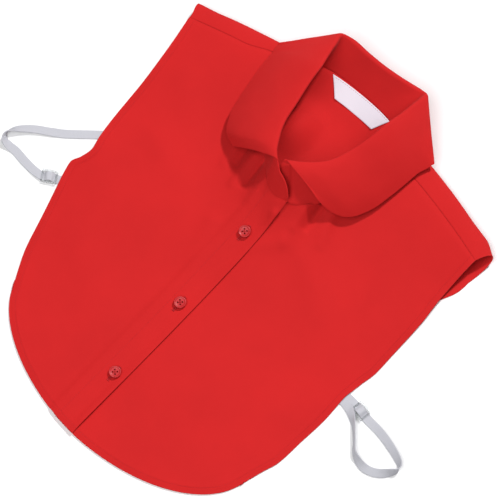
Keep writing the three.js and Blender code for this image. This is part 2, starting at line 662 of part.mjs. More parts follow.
// The stand's ends beyond the leaf are rounded down to the seam
function standReach(turn) {
  let beyond = 0;
  if (turn < COLLAR_FIRST_TURN) {
    beyond = (COLLAR_FIRST_TURN - turn) / (COLLAR_FIRST_TURN - STAND_FIRST_TURN);
  } else if (turn > COLLAR_LAST_TURN) {
    beyond = (turn - COLLAR_LAST_TURN) / (STAND_LAST_TURN - COLLAR_LAST_TURN);
  }
  const dip = 1 - STAND_END_DIP * ease(0, STAND_END_DIP_LENGTH, beyond);
  return dip * Math.sqrt(1 - STAND_END_ROUNDING * beyond ** 2);
}

function standGrid() {
  const beforeLeaf = STAND_FIRST_END_STEPS.map((share) => mix(STAND_FIRST_TURN, COLLAR_FIRST_TURN, share));
  const afterLeaf = STAND_LAST_END_STEPS.map((share) => mix(COLLAR_LAST_TURN, STAND_LAST_TURN, share));
  return collarTurns(beforeLeaf, afterLeaf).map((turn) => {
    const seam = neckSeamPoint(turn, lapAt(turn));
    const lean = standLean(turn);
    const full = lean.length() - ROLL_LEG;
    const height = Math.max(full * standReach(turn), STAND_END_HEIGHT);
    const direction = lean.clone().normalize();
    return Array.from({ length: STAND_ROWS + 1 }, (_, row) => (
      seam.clone().addScaledVector(direction, mix(SEAM_GAP, height, row / STAND_ROWS))));
  });
}

// One section of the leaf: a short leg up from the stand, the roll, then down to the edge
function leafSection(turn) {
  const value = (key) => readTable(LEAF_FALL, "turn", key, turn);
  const seam = neckSeamPoint(turn, lapAt(turn));
  const lean = standLean(turn);
  const fold = seam.clone().add(lean);
  const start = fold.clone().addScaledVector(lean.clone().normalize(), ROLL_GAP - ROLL_LEG);
  const tuck = THREE.MathUtils.clamp(value("tuck"), 0, 1);
  const edge = new THREE.Vector3(
    fold.x + LEAF_WIDTH * value("x"), fold.y + LEAF_WIDTH * value("y"), 0);
  const onChest = frontHeight(edge.x, edge.y) + FRONT_THICKNESS + LAYER_GAP
    + LEAF_THICKNESS / 2 + LEAF_LIFT * value("lift");
  edge.z = mix(onChest, LEAF_THICKNESS / 2, tuck);
  const bulge = LEAF_BULGE * Math.max(value("bulge"), 0);
  const span = new THREE.Vector3().subVectors(edge, fold);
  const chestFirst = fold.clone().addScaledVector(span, LEAF_FIRST_HANDLE).addScaledVector(up, bulge);
  const chestSecond = fold.clone().addScaledVector(span, LEAF_SECOND_HANDLE)
    .addScaledVector(up, LEAF_SECOND_FULLNESS * bulge);
  const underFirst = new THREE.Vector3(fold.x, fold.y + TUCK_BACK_REACH, TUCK_FOLD_HEIGHT * fold.z);
  const underSecond = new THREE.Vector3(
    mix(fold.x, edge.x, TUCK_HANDLE_X), mix(fold.y, edge.y, TUCK_HANDLE_Y), edge.z);
  const first = chestFirst.lerp(underFirst, tuck);
  const second = chestSecond.lerp(underSecond, tuck);
  const away = first.clone().sub(fold).setLength(ROLL_LEG).add(fold);
  const roll = new THREE.QuadraticBezierCurve3(start, fold, away);
  const fall = new THREE.CubicBezierCurve3(away, first, second, edge);
  const points = [];
  for (let row = 0; row < LEAF_ROLL_ROWS; row += 1) {
    points.push(roll.getPoint(row / LEAF_ROLL_ROWS));
  }
  for (let row = 0; row <= LEAF_ROWS; row += 1) {
    points.push(fall.getPoint(row / LEAF_ROWS));
  }
  return points;
}

function leafGrid() {
  return collarTurns([], []).map(leafSection);
}

// Turns a geometry into a solid that can be cut, and back
const manifold = await Module();
manifold.setup();

function toSolid(geometry) {
  const bare = geometry.clone();
  bare.deleteAttribute("normal");
  bare.deleteAttribute("uv");
  const merged = mergeVertices(bare, 1e-4);
  return new manifold.Manifold(new manifold.Mesh({
    numProp: 3,
    vertProperties: Float32Array.from(merged.attributes.position.array),
    triVerts: Uint32Array.from(merged.index.array),
  }));
}

function fromSolid(solid) {
  const mesh = solid.getMesh();
  const geometry = new THREE.BufferGeometry();
  geometry.setAttribute("position", new THREE.Float32BufferAttribute(mesh.vertProperties, 3));
  geometry.setIndex(Array.from(mesh.triVerts));
  geometry.computeVertexNormals();
  return geometry;
}

// Rimmed shirt button with four holes, its underside at height 0
function buttonGeometry() {
  const radius = BUTTON_DIAMETER / 2;
  const floor = BUTTON_THICKNESS - BUTTON_DISH;
  const side = BUTTON_SIDE.map(({ out, high }) => new THREE.Vector2(out * radius, high * BUTTON_THICKNESS));
  const profile = [
    new THREE.Vector2(0, 0),
    ...side,
    new THREE.Vector2(radius - BUTTON_RIM / 2, BUTTON_THICKNESS),
    new THREE.Vector2(radius - BUTTON_RIM, floor),
    new THREE.Vector2(0, floor),
  ];
  const body = new THREE.LatheGeometry(profile, BUTTON_SIDES);
  body.rotateX(Math.PI / 2);
  let solid = toSolid(body);
  for (const [sideX, sideY] of [[1, 1], [1, -1], [-1, 1], [-1, -1]]) {
    const hole = new THREE.CylinderGeometry(
      BUTTON_HOLE_DIAMETER / 2, BUTTON_HOLE_DIAMETER / 2, 4 * BUTTON_THICKNESS, BUTTON_HOLE_SIDES);
    hole.rotateX(Math.PI / 2);
    hole.translate(sideX * BUTTON_HOLE_SPACING / 2, sideY * BUTTON_HOLE_SPACING / 2, 0);
    solid = solid.subtract(toSolid(hole));
  }
  return fromSolid(solid);
}

// Label on the inside of the back neck, its grid on its middle surface
function labelGrid() {
  const lift = (BACK_THICKNESS + LABEL_THICKNESS) / 2 + LABEL_GAP;
  const neckFirst = BACK_SHOULDER_SHARE;
  const neckLast = 1 - BACK_SHOULDER_SHARE;
  const grid = [];
  for (let row = 0; row <= LABEL_ROWS; row += 1) {
    const down = row / LABEL_ROWS;
    const width = mix(LABEL_TOP_WIDTH, LABEL_BOTTOM_WIDTH, down);
    const line = [];
    for (let column = 0; column <= LABEL_ACROSS; column += 1) {
      const x = LABEL_CENTRE_X + width * (column / LABEL_ACROSS - 0.5);
      const section = backSection(findPlace(neckFirst, neckLast, x, (share) => backTopEdge(share).point.x));
      const y = section.v3.y - LABEL_BELOW_SEAM - LABEL_HEIGHT * down;
      const along = findPlace(0, 1, y, (share) => section.getPoint(share).y);
      line.push(new THREE.Vector3(x, y, section.getPoint(along).z + lift));
    }
    grid.push(line);
  }
  return grid;
}

// Middle line of an elastic loop with the direction of its width at each step
function loopFrames(side, table, reach, centreUp, slideOut, slideFirst) {
  const anchor = sidePoint(side, centreUp);
  const place = (row) => new THREE.Vector3(
    side * (Math.abs(anchor.x) + reach * row.out), anchor.y + reach * row.along, ELASTIC_THICKNESS / 2);
  const route = new THREE.CatmullRomCurve3(table.map(place), false, "centripetal");
  const tilts = table.map((row, index) => ({ place: index / (table.length - 1), tilt: row.tilt }));
  let slideShare = 0;
  let nearest = Infinity;
  for (let step = 0; step <= LOOP_SEARCH_STEPS; step += 1) {
    const share = step / LOOP_SEARCH_STEPS;
    const point = route.getPoint(share);
    const out = (side * point.x - Math.abs(anchor.x)) / reach;
    const onStrand = slideFirst ? share < 0.5 : share > 0.5;
    if (onStrand && Math.abs(out - slideOut) < nearest) {
      nearest = Math.abs(out - slideOut);
      slideShare = share;
    }
  }
  const length = route.getLength();
  const slidePoint = route.getPoint(slideShare);
  const slideHalf = SLIDE_WINDOW + 1.5 * SLIDE_BAR;
  const near = LOOP_ARCH_MARGIN * slideHalf / length;
  const shares = new Set();
  for (let step = 0; step <= LOOP_STEPS; step += 1) {
    const share = step / LOOP_STEPS;
    if (Math.abs(share - slideShare) > near) {
      shares.add(share);
    }
  }
  for (let step = -LOOP_ARCH_STEPS; step <= LOOP_ARCH_STEPS; step += 1) {
    shares.add(slideShare + near * step / LOOP_ARCH_STEPS);
  }
  const frames = [...shares].sort((a, b) => a - b).map((share) => {
    const point = route.getPoint(share);
    const tangent = route.getTangent(share);
    const tilt = degrees(readTable(tilts, "place", "tilt", share));
    const flat = new THREE.Vector3().crossVectors(up, tangent).normalize();
    const width = flat.applyAxisAngle(tangent, tilt);
    const fromSlide = point.distanceTo(slidePoint);
    const archTop = SLIDE_BAR / 2 + SLIDE_ARCH_CLEARANCE;
    const overBar = 1 - ease(archTop, archTop + SLIDE_WINDOW - SLIDE_ARCH_CLEARANCE, fromSlide);
    const barTop = ELASTIC_THICKNESS + LAYER_GAP + SLIDE_THICKNESS + LAYER_GAP;
    const raised = Math.abs(width.z) * ELASTIC_WIDTH + Math.sqrt(1 - width.z ** 2) * ELASTIC_THICKNESS;
    point.z = raised / 2 + overBar * barTop;
    return { point, tangent, width };
  });
  return { frames, slidePoint, slideTangent: route.getTangent(slideShare) };
}

// Flat band swept along its frames
function bandGeometry(frames) {
  const positions = [];
  const indices = [];
  frames.forEach(({ point, width }, index) => {
    const before = frames[Math.max(index - 1, 0)].point;
    const after = frames[Math.min(index + 1, frames.length - 1)].point;
    const tangent = new THREE.Vector3().subVectors(after, before).normalize();
    const face = new THREE.Vector3().crossVectors(tangent, width).normalize();
    for (const [side, over] of [[-1, -1], [1, -1], [1, 1], [-1, 1]]) {
      const corner = point.clone().addScaledVector(width, side * ELASTIC_WIDTH / 2);
      corner.addScaledVector(face, over * ELASTIC_THICKNESS / 2);
      positions.push(...corner.toArray());
    }
  });
  for (let index = 0; index < frames.length - 1; index += 1) {
    for (let side = 0; side < 4; side += 1) {
      const a = 4 * index + side;
      const b = 4 * index + (side + 1) % 4;
      indices.push(a, b, b + 4, a, b + 4, a + 4);
    }
  }
  const end = 4 * (frames.length - 1);
  indices.push(0, 2, 1, 0, 3, 2, end, end + 1, end + 2, end, end + 2, end + 3);
  return closedGeometry(positions, indices);
}

// Slide: a flat frame with a bar across its middle
function slideGeometry() {
  const length = 2 * SLIDE_WINDOW + 3 * SLIDE_BAR;
  const inner = ELASTIC_WIDTH + 2 * SLIDE_SIDE_CLEARANCE;
  const width = inner + 2 * SLIDE_BAR;
  const outline = new THREE.Shape();
  const cut = SLIDE_CORNER_CUT;
  outline.moveTo(-length / 2 + cut, -width / 2);
  outline.lineTo(length / 2 - cut, -width / 2);
  outline.lineTo(length / 2, -width / 2 + cut);
  outline.lineTo(length / 2, width / 2 - cut);
  outline.lineTo(length / 2 - cut, width / 2);
  outline.lineTo(-length / 2 + cut, width / 2);
  outline.lineTo(-length / 2, width / 2 - cut);
  outline.lineTo(-length / 2, -width / 2 + cut);
  let solid = toSolid(new THREE.ExtrudeGeometry(outline, { depth: SLIDE_THICKNESS, bevelEnabled: false }));
  for (const side of [-1, 1]) {
    const window = new THREE.BoxGeometry(SLIDE_WINDOW, inner, 4 * SLIDE_THICKNESS);
    window.translate(side * (SLIDE_BAR + SLIDE_WINDOW) / 2, 0, 0);
    solid = solid.subtract(toSolid(window));
  }
  return fromSolid(solid);
}

// Materials
const redCotton = new THREE.MeshStandardMaterial({ color: 0xcf2b2b, roughness: 0.85, metalness: 0 });
const redButton = new THREE.MeshStandardMaterial({ color: 0xd93a3a, roughness: 0.35, metalness: 0 });
const whiteSatin = new THREE.MeshStandardMaterial({ color: 0xe6dce6, roughness: 0.5, metalness: 0 });
const whiteElastic = new THREE.MeshStandardMaterial({ color: 0xd7d7e1, roughness: 0.8, metalness: 0 });
const clearPlastic = new THREE.MeshStandardMaterial({ color: 0xdcdfe0, roughness: 0.15, metalness: 0 });

const bib = new THREE.Group();

function addPiece(name, geometry, material) {
  const mesh = new THREE.Mesh(geometry, material);
  mesh.name = name;
  bib.add(mesh);
  return mesh;
}

addPiece("back_panel", clothSolid(backGrid(), BACK_THICKNESS), redCotton);
addPiece("front_right", clothSolid(frontGrid(-1), FRONT_THICKNESS), redCotton);
addPiece("front_left", clothSolid(frontGrid(1), FRONT_THICKNESS), redCotton);
addPiece("collar_stand", clothSolid(standGrid(), STAND_THICKNESS), redCotton);
addPiece("collar_leaf", clothSolid(leafGrid(), LEAF_THICKNESS), redCotton);
addPiece("neck_label", clothSolid(labelGrid(), LABEL_THICKNESS), whiteSatin);

[0, 1, 2].forEach((number) => {
  const y = TOP_BUTTON_Y - number * BUTTON_PITCH;
  const x = number * BUTTON_SLANT;
  const normal = frontNormal(x, y);
  const button = addPiece(`button_${number + 1}`, buttonGeometry(), redButton);
  const seat = frontHeight(x, y) + lapStep(x, y) + FRONT_THICKNESS;
  button.position.set(x, y, seat).addScaledVector(normal, BUTTON_SEAT);
  button.quaternion.setFromUnitVectors(up, normal);
});

const loops = [
  { name: "right", side: -1, table: RIGHT_LOOP, reach: RIGHT_LOOP_REACH,
    centreUp: RIGHT_LOOP_CENTRE_UP, slideOut: RIGHT_SLIDE_OUT, slideFirst: false },
  { name: "left", side: 1, table: LEFT_LOOP, reach: LEFT_LOOP_REACH,
    centreUp: LEFT_LOOP_CENTRE_UP, slideOut: LEFT_SLIDE_OUT, slideFirst: true },
];
for (const loop of loops) {
  const { frames, slidePoint, slideTangent } = loopFrames(
    loop.side, loop.table, loop.reach, loop.centreUp, loop.slideOut, loop.slideFirst);
  addPiece(`elastic_${loop.name}`, bandGeometry(frames), whiteElastic);
  const slide = addPiece(`slide_${loop.name}`, slideGeometry(), clearPlastic);
  slide.position.set(slidePoint.x, slidePoint.y, ELASTIC_THICKNESS + LAYER_GAP);
  slide.rotation.z = Math.atan2(slideTangent.y, slideTangent.x);
}

export default bib;
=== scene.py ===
"""Detachable bib collar in red shirting, laid face up on a pale table.

Lengths in the classes are in millimetres, as a pattern cutter would give them. Every mesh is
turned into metres, in the model's own frame, when it is finished.
"""

import logging
import math
from dataclasses import dataclass
from enum import Enum
from typing import Callable, Iterable, Sequence

import bmesh
import bpy
import numpy
from mathutils import Matrix, Vector, noise


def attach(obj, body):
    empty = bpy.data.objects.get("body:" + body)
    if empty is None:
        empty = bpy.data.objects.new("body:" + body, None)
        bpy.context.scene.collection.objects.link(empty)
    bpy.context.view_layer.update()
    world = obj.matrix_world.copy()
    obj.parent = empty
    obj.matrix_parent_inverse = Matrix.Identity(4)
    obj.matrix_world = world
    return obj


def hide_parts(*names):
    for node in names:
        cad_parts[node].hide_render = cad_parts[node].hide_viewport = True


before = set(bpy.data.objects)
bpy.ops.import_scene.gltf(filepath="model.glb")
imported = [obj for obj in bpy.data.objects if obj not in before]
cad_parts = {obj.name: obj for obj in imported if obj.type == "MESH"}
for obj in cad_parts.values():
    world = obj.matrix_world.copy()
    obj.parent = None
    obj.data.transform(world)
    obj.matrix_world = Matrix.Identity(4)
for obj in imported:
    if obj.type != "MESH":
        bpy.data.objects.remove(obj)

LOG = logging.getLogger("bib_collar")
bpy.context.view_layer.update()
MM = 0.001
BODY = "root"
FIRST_BUTTON_Y = 47.5
BUTTON_STEP = (1.2, -87)
CUT_UNIT = 100
EDGE_ANGLE = math.radians(55)

Object = bpy.types.Object
Material = bpy.types.Material
NodeTree = bpy.types.NodeTree
Node = bpy.types.Node
Socket = bpy.types.NodeSocket
Pair = tuple[float, float]

# A row of a table, a colour, and a sheet's point with the cut's coordinates and the hem's weight.
Row = tuple[float, ...]
Colour = tuple[float, float, float, float]
Placed = tuple[Vector, Pair, float]
Place = Callable[[float, float], Placed]


# Side edges of the bib: up as a share of the body's length, right and left edge as shares of half
# the body's width, and how far the back panel lies inside them as shares of the back's inset.
SIDES: tuple[Row, ...] = (
    (0.168, 0.682, 0.882, 1, 1),
    (0.2305, 0.749, 0.9215, 1, 1),
    (0.266, 0.781, 0.946, 1, 1),
    (0.345, 0.833, 0.957, 1, 1),
    (0.41, 0.877, 0.966, 1, 1),
    (0.47, 0.916, 0.962, 1, 1),
    (0.49, 0.922, 0.961, 1, 1),
    (0.51, 0.901, 0.967, 1, 1),
    (0.54, 0.886, 0.976, 1, 1),
    (0.576, 0.902, 0.99, 1, 1),
    (0.634, 0.921, 0.989, 1, 1),
    (0.745, 0.938, 0.984, 1, 1),
    (0.81, 0.951, 0.971, 1, 0.35),
    (0.871, 0.967, 0.969, 0.7, -0.75),
    (0.934, 0.989, 0.975, 0.3, -1.3),
)
ARMHOLE_CORNER = SIDES[8]

# Where the stand leans: degrees round the neck, then x, y, z as shares of the stand's height.
STAND_LEAN: tuple[Row, ...] = (
    (8, -0.32, 0.63, 0.59),
    (18, -0.26, 0.71, 0.65),
    (28, -0.16, 0.76, 0.72),
    (45, 0.08, 0.65, 0.74),
    (65, 0.36, 0.38, 0.76),
    (85, 0.44, 0.15, 0.79),
    (105, 0.35, 0.18, 0.79),
    (125, 0.04, 0.54, 0.75),
    (140, -0.28, 0.82, 0.68),
    (152, -0.19, 0.84, 0.63),
    (165, -0.05, 0.8, 0.62),
    (180, 0.1, 0.81, 0.6),
    (195, 0.25, 0.87, 0.62),
    (208, 0.46, 0.99, 0.6),
    (220, 0.4, 1.06, 0.65),
    (235, 0.04, 0.71, 0.74),
    (255, -0.33, 0.31, 0.79),
    (275, -0.54, 0.15, 0.84),
    (295, -0.65, 0.38, 0.78),
    (315, -0.65, 0.59, 0.74),
    (332, -0.69, 0.71, 0.71),
    (346, -0.64, 0.76, 0.67),
    (360, -0.47, 0.74, 0.65),
)

# How the leaf falls: degrees, x and y to its edge as shares of its width, lift, tuck and bulge.
LEAF_FALL: tuple[Row, ...] = (
    (8, -0.73, -0.16, 0.9, 0, 1.3),
    (18, -0.83, -0.17, 0.8, 0, 1.4),
    (28, -0.865, -0.13, 0.75, 0, 1.1),
    (45, -0.84, -0.1, 0.6, 0, 1),
    (65, -0.84, -0.08, 0.45, 0, 1),
    (85, -0.81, -0.13, 0.3, 0, 1),
    (105, -0.76, -0.29, 0.3, 0, 0.9),
    (125, -0.69, -0.5, 0.3, 0, 0.5),
    (140, -0.63, -0.66, 0.4, 0, 0),
    (152, -0.52, -0.61, 0, 1, 0),
    (165, -0.13, -0.56, 0, 1, 0),
    (180, 0, -0.56, 0, 1, 0),
    (195, 0.1, -0.56, 0, 1, 0),
    (208, 0.53, -0.63, 0, 1, 0),
    (220, 0.71, -0.65, 0.4, 0, 0),
    (235, 0.74, -0.48, 0.35, 0, 0.5),
    (255, 0.74, -0.27, 0.3, 0, 0.9),
    (275, 0.74, -0.13, 0.4, 0, 1),
    (295, 0.79, -0.05, 0.5, 0, 1),
    (315, 0.855, -0.02, 0.6, 0, 1.4),
    (332, 0.92, -0.08, 0.75, 0, 1.7),
    (346, 0.89, -0.1, 0.9, 0, 1.6),
    (360, 0.74, -0.09, 1, 0, 1.1),
)

# Routes of the elastics: out and along as shares of the loop's reach, and roll in degrees.
RIGHT_LOOP: tuple[Row, ...] = (
    (-0.045, 0.475, 0),
    (0.017, 0.432, 0),
    (0.37, 0.13, 0),
    (0.541, 0.012, 6),
    (0.729, -0.11, 14),
    (0.88, -0.245, 30),
    (0.95, -0.34, 62),
    (0.965, -0.42, 95),
    (0.915, -0.495, 140),
    (0.82, -0.512, 172),
    (0.72, -0.507, 180),
    (0.51, -0.535, 182),
    (0.33, -0.545, 178),
    (0.2, -0.53, 172),
    (0.12, -0.475, 180),
    (-0.045, -0.4, 180),
)
LEFT_LOOP: tuple[Row, ...] = (
    (-0.035, 0.05, 0),
    (0.09, 0.045, 0),
    (0.225, 0.026, 0),
    (0.346, 0.005, 8),
    (0.527, -0.013, 20),
    (0.712, -0.055, 28),
    (0.87, -0.11, 44),
    (0.945, -0.155, 66),
    (0.962, -0.205, 92),
    (0.925, -0.27, 125),
    (0.824, -0.365, 160),
    (0.7, -0.415, 165),
    (0.595, -0.412, 140),
    (0.488, -0.365, 112),
    (0.393, -0.26, 104),
    (0.277, -0.145, 112),
    (0.16, -0.06, 150),
    (0.06, -0.022, 178),
    (-0.035, -0.015, 180),
)


class Side(Enum):
    """The wearer's side that a half of the bib is on, with its direction along X."""

    RIGHT = -1
    LEFT = 1


def mix(start: float, end: float, share: float) -> float:
    """Returns the value at a share of the way from start to end."""
    return start + (end - start) * share


def clamp(value: float, low: float = 0.0, high: float = 1.0) -> float:
    """Returns the value held between two limits."""
    return max(low, min(high, value))


def ease(start: float, end: float, value: float) -> float:
    """Returns a smooth step from 0 to 1 while value goes from start to end."""
    share = clamp((value - start) / (end - start))
    return share * share * (3 - 2 * share)


def hump(value: float, centre: float, width: float) -> float:
    """Returns a bell curve that is 1 at its centre."""
    return math.exp(-(((value - centre) / width) ** 2))


def find_place(low: float, high: float, target: float, value_at: Callable[[float], float]) -> float:
    """Finds the place where a rising value reaches a target.

    Args:
        low: The lowest place.
        high: The highest place.
        target: The value that is looked for.
        value_at: Gives the value at a place.

    Returns:
        The place.
    """
    for _ in range(40):
        middle = (low + high) / 2
        if value_at(middle) < target:
            low = middle
        else:
            high = middle
    return (low + high) / 2


def cubic(ends: tuple, slopes: tuple, share: float) -> float | Vector:
    """Returns the value at a share of a cubic curve, from both ends and the slopes there.

    Args:
        ends: The values at 0 and 1.
        slopes: The slopes at 0 and 1.
        share: The share, from 0 to 1.

    Returns:
        The value, of the ends' kind.
    """
    squared, cubed = share ** 2, share ** 3
    return (ends[0] * (2 * cubed - 3 * squared + 1) + slopes[0] * (cubed - 2 * squared + share)
            + ends[1] * (3 * squared - 2 * cubed) + slopes[1] * (cubed - squared))


def read_table(rows: Sequence[Row], column: int, place: float) -> float:
    """Reads one column of a table at a place between its rows, on a smooth curve.

    Args:
        rows: Rows whose first number is the place.
        column: The column to read.
        place: Where to read it.

    Returns:
        The value there.
    """
    last = len(rows) - 1
    index = next((at for at, row in enumerate(rows) if row[0] > place), -1) - 1
    if index < 0:
        index = 0 if place <= rows[0][0] else last - 1

    def slope(at: int) -> float:
        """Returns the curve's slope at a row."""
        before, after = rows[max(at - 1, 0)], rows[min(at + 1, last)]
        return (after[column] - before[column]) / (after[0] - before[0])

    start, end = rows[index], rows[index + 1]
    span = end[0] - start[0]
    slopes = (slope(index) * span, slope(index + 1) * span)
    return cubic((start[column], end[column]), slopes, clamp((place - start[0]) / span))


def bezier(points: Sequence[Vector], share: float) -> Vector:
    """Returns the point at a share of a Bezier curve with any number of control points.

    Args:
        points: The control points.
        share: The share, from 0 to 1.

    Returns:
        The point.
    """
    level = [point.copy() for point in points]
    while len(level) > 1:
        level = [a.lerp(b, share) for a, b in zip(level, level[1:])]
    return level[0]


def spread(stops: Sequence[tuple[float, int]]) -> list[float]:
    """Divides the way from 0 to 1 into stretches with a step count each.

    Args:
        stops: The end of each stretch and the number of steps in it.

    Returns:
        The places of all the lines, 0 and 1 among them.
    """
    places, start = [0.0], 0.0
    for end, count in stops:
        places += [mix(start, end, (step + 1) / count) for step in range(count)]
        start = end
    return places


@dataclass(frozen=True)
class Crease:
    """A soft ridge or hollow in the cloth between two points of the plan."""

    start: Pair
    end: Pair
    width: float
    height: float
    taper: float = 0.6

    def lift(self, x: float, y: float) -> float:
        """Returns how far the crease lifts the cloth at a point.

        Args:
            x: The plan point's X.
            y: Its Y.

        Returns:
            The height, below 0 in a hollow.
        """
        ax, ay = self.start
        dx, dy = self.end[0] - ax, self.end[1] - ay
        share = clamp(((x - ax) * dx + (y - ay) * dy) / (dx * dx + dy * dy))
        away = math.hypot(x - ax - share * dx, y - ay - share * dy)
        return self.height * (1 - self.taper * share) * math.exp(-((away / self.width) ** 2))


# Folds and ridges that the cloth keeps: from, to, width and height.
CREASES: dict[Side, tuple[Crease, ...]] = {
    Side.RIGHT: (
        Crease((-42, 106), (-40, 74), 4.0, 3.8),
        Crease((-20, 100), (-18, 72), 4.0, 3.2),
        Crease((-31, 113), (-30, 80), 3.0, -6.0),
        Crease((-66, 120), (-58, 84), 5.0, 3.0),
        Crease((-54, 118), (-50, 90), 3.4, -4.5),
        Crease((10, 74), (12, 67), 3.6, 2.0),
        Crease((-30, 36), (-18, -6), 8.0, 1.6),
        Crease((-120, 60), (-60, 45), 15.0, 1.9),
        Crease((-110, -60), (-40, -90), 17.0, 1.9),
        Crease((-140, 120), (-100, 86), 13.0, 1.6),
        Crease((-60, 20), (-90, -20), 15.0, 1.5),
    ),
    Side.LEFT: (
        Crease((27, 106), (30, 78), 3.8, 3.4),
        Crease((47, 114), (57, 84), 5.0, 3.0),
        Crease((36, 114), (38, 86), 3.0, -5.5),
        Crease((30, 62), (14, 42), 6.0, 1.8),
        Crease((34, 72), (100, 44), 11.0, 2.0),
        Crease((60, 90), (90, 30), 13.0, 1.6),
        Crease((140, 60), (110, -40), 17.0, 1.8),
        Crease((40, -110), (120, -60), 19.0, 1.9),
    ),
}


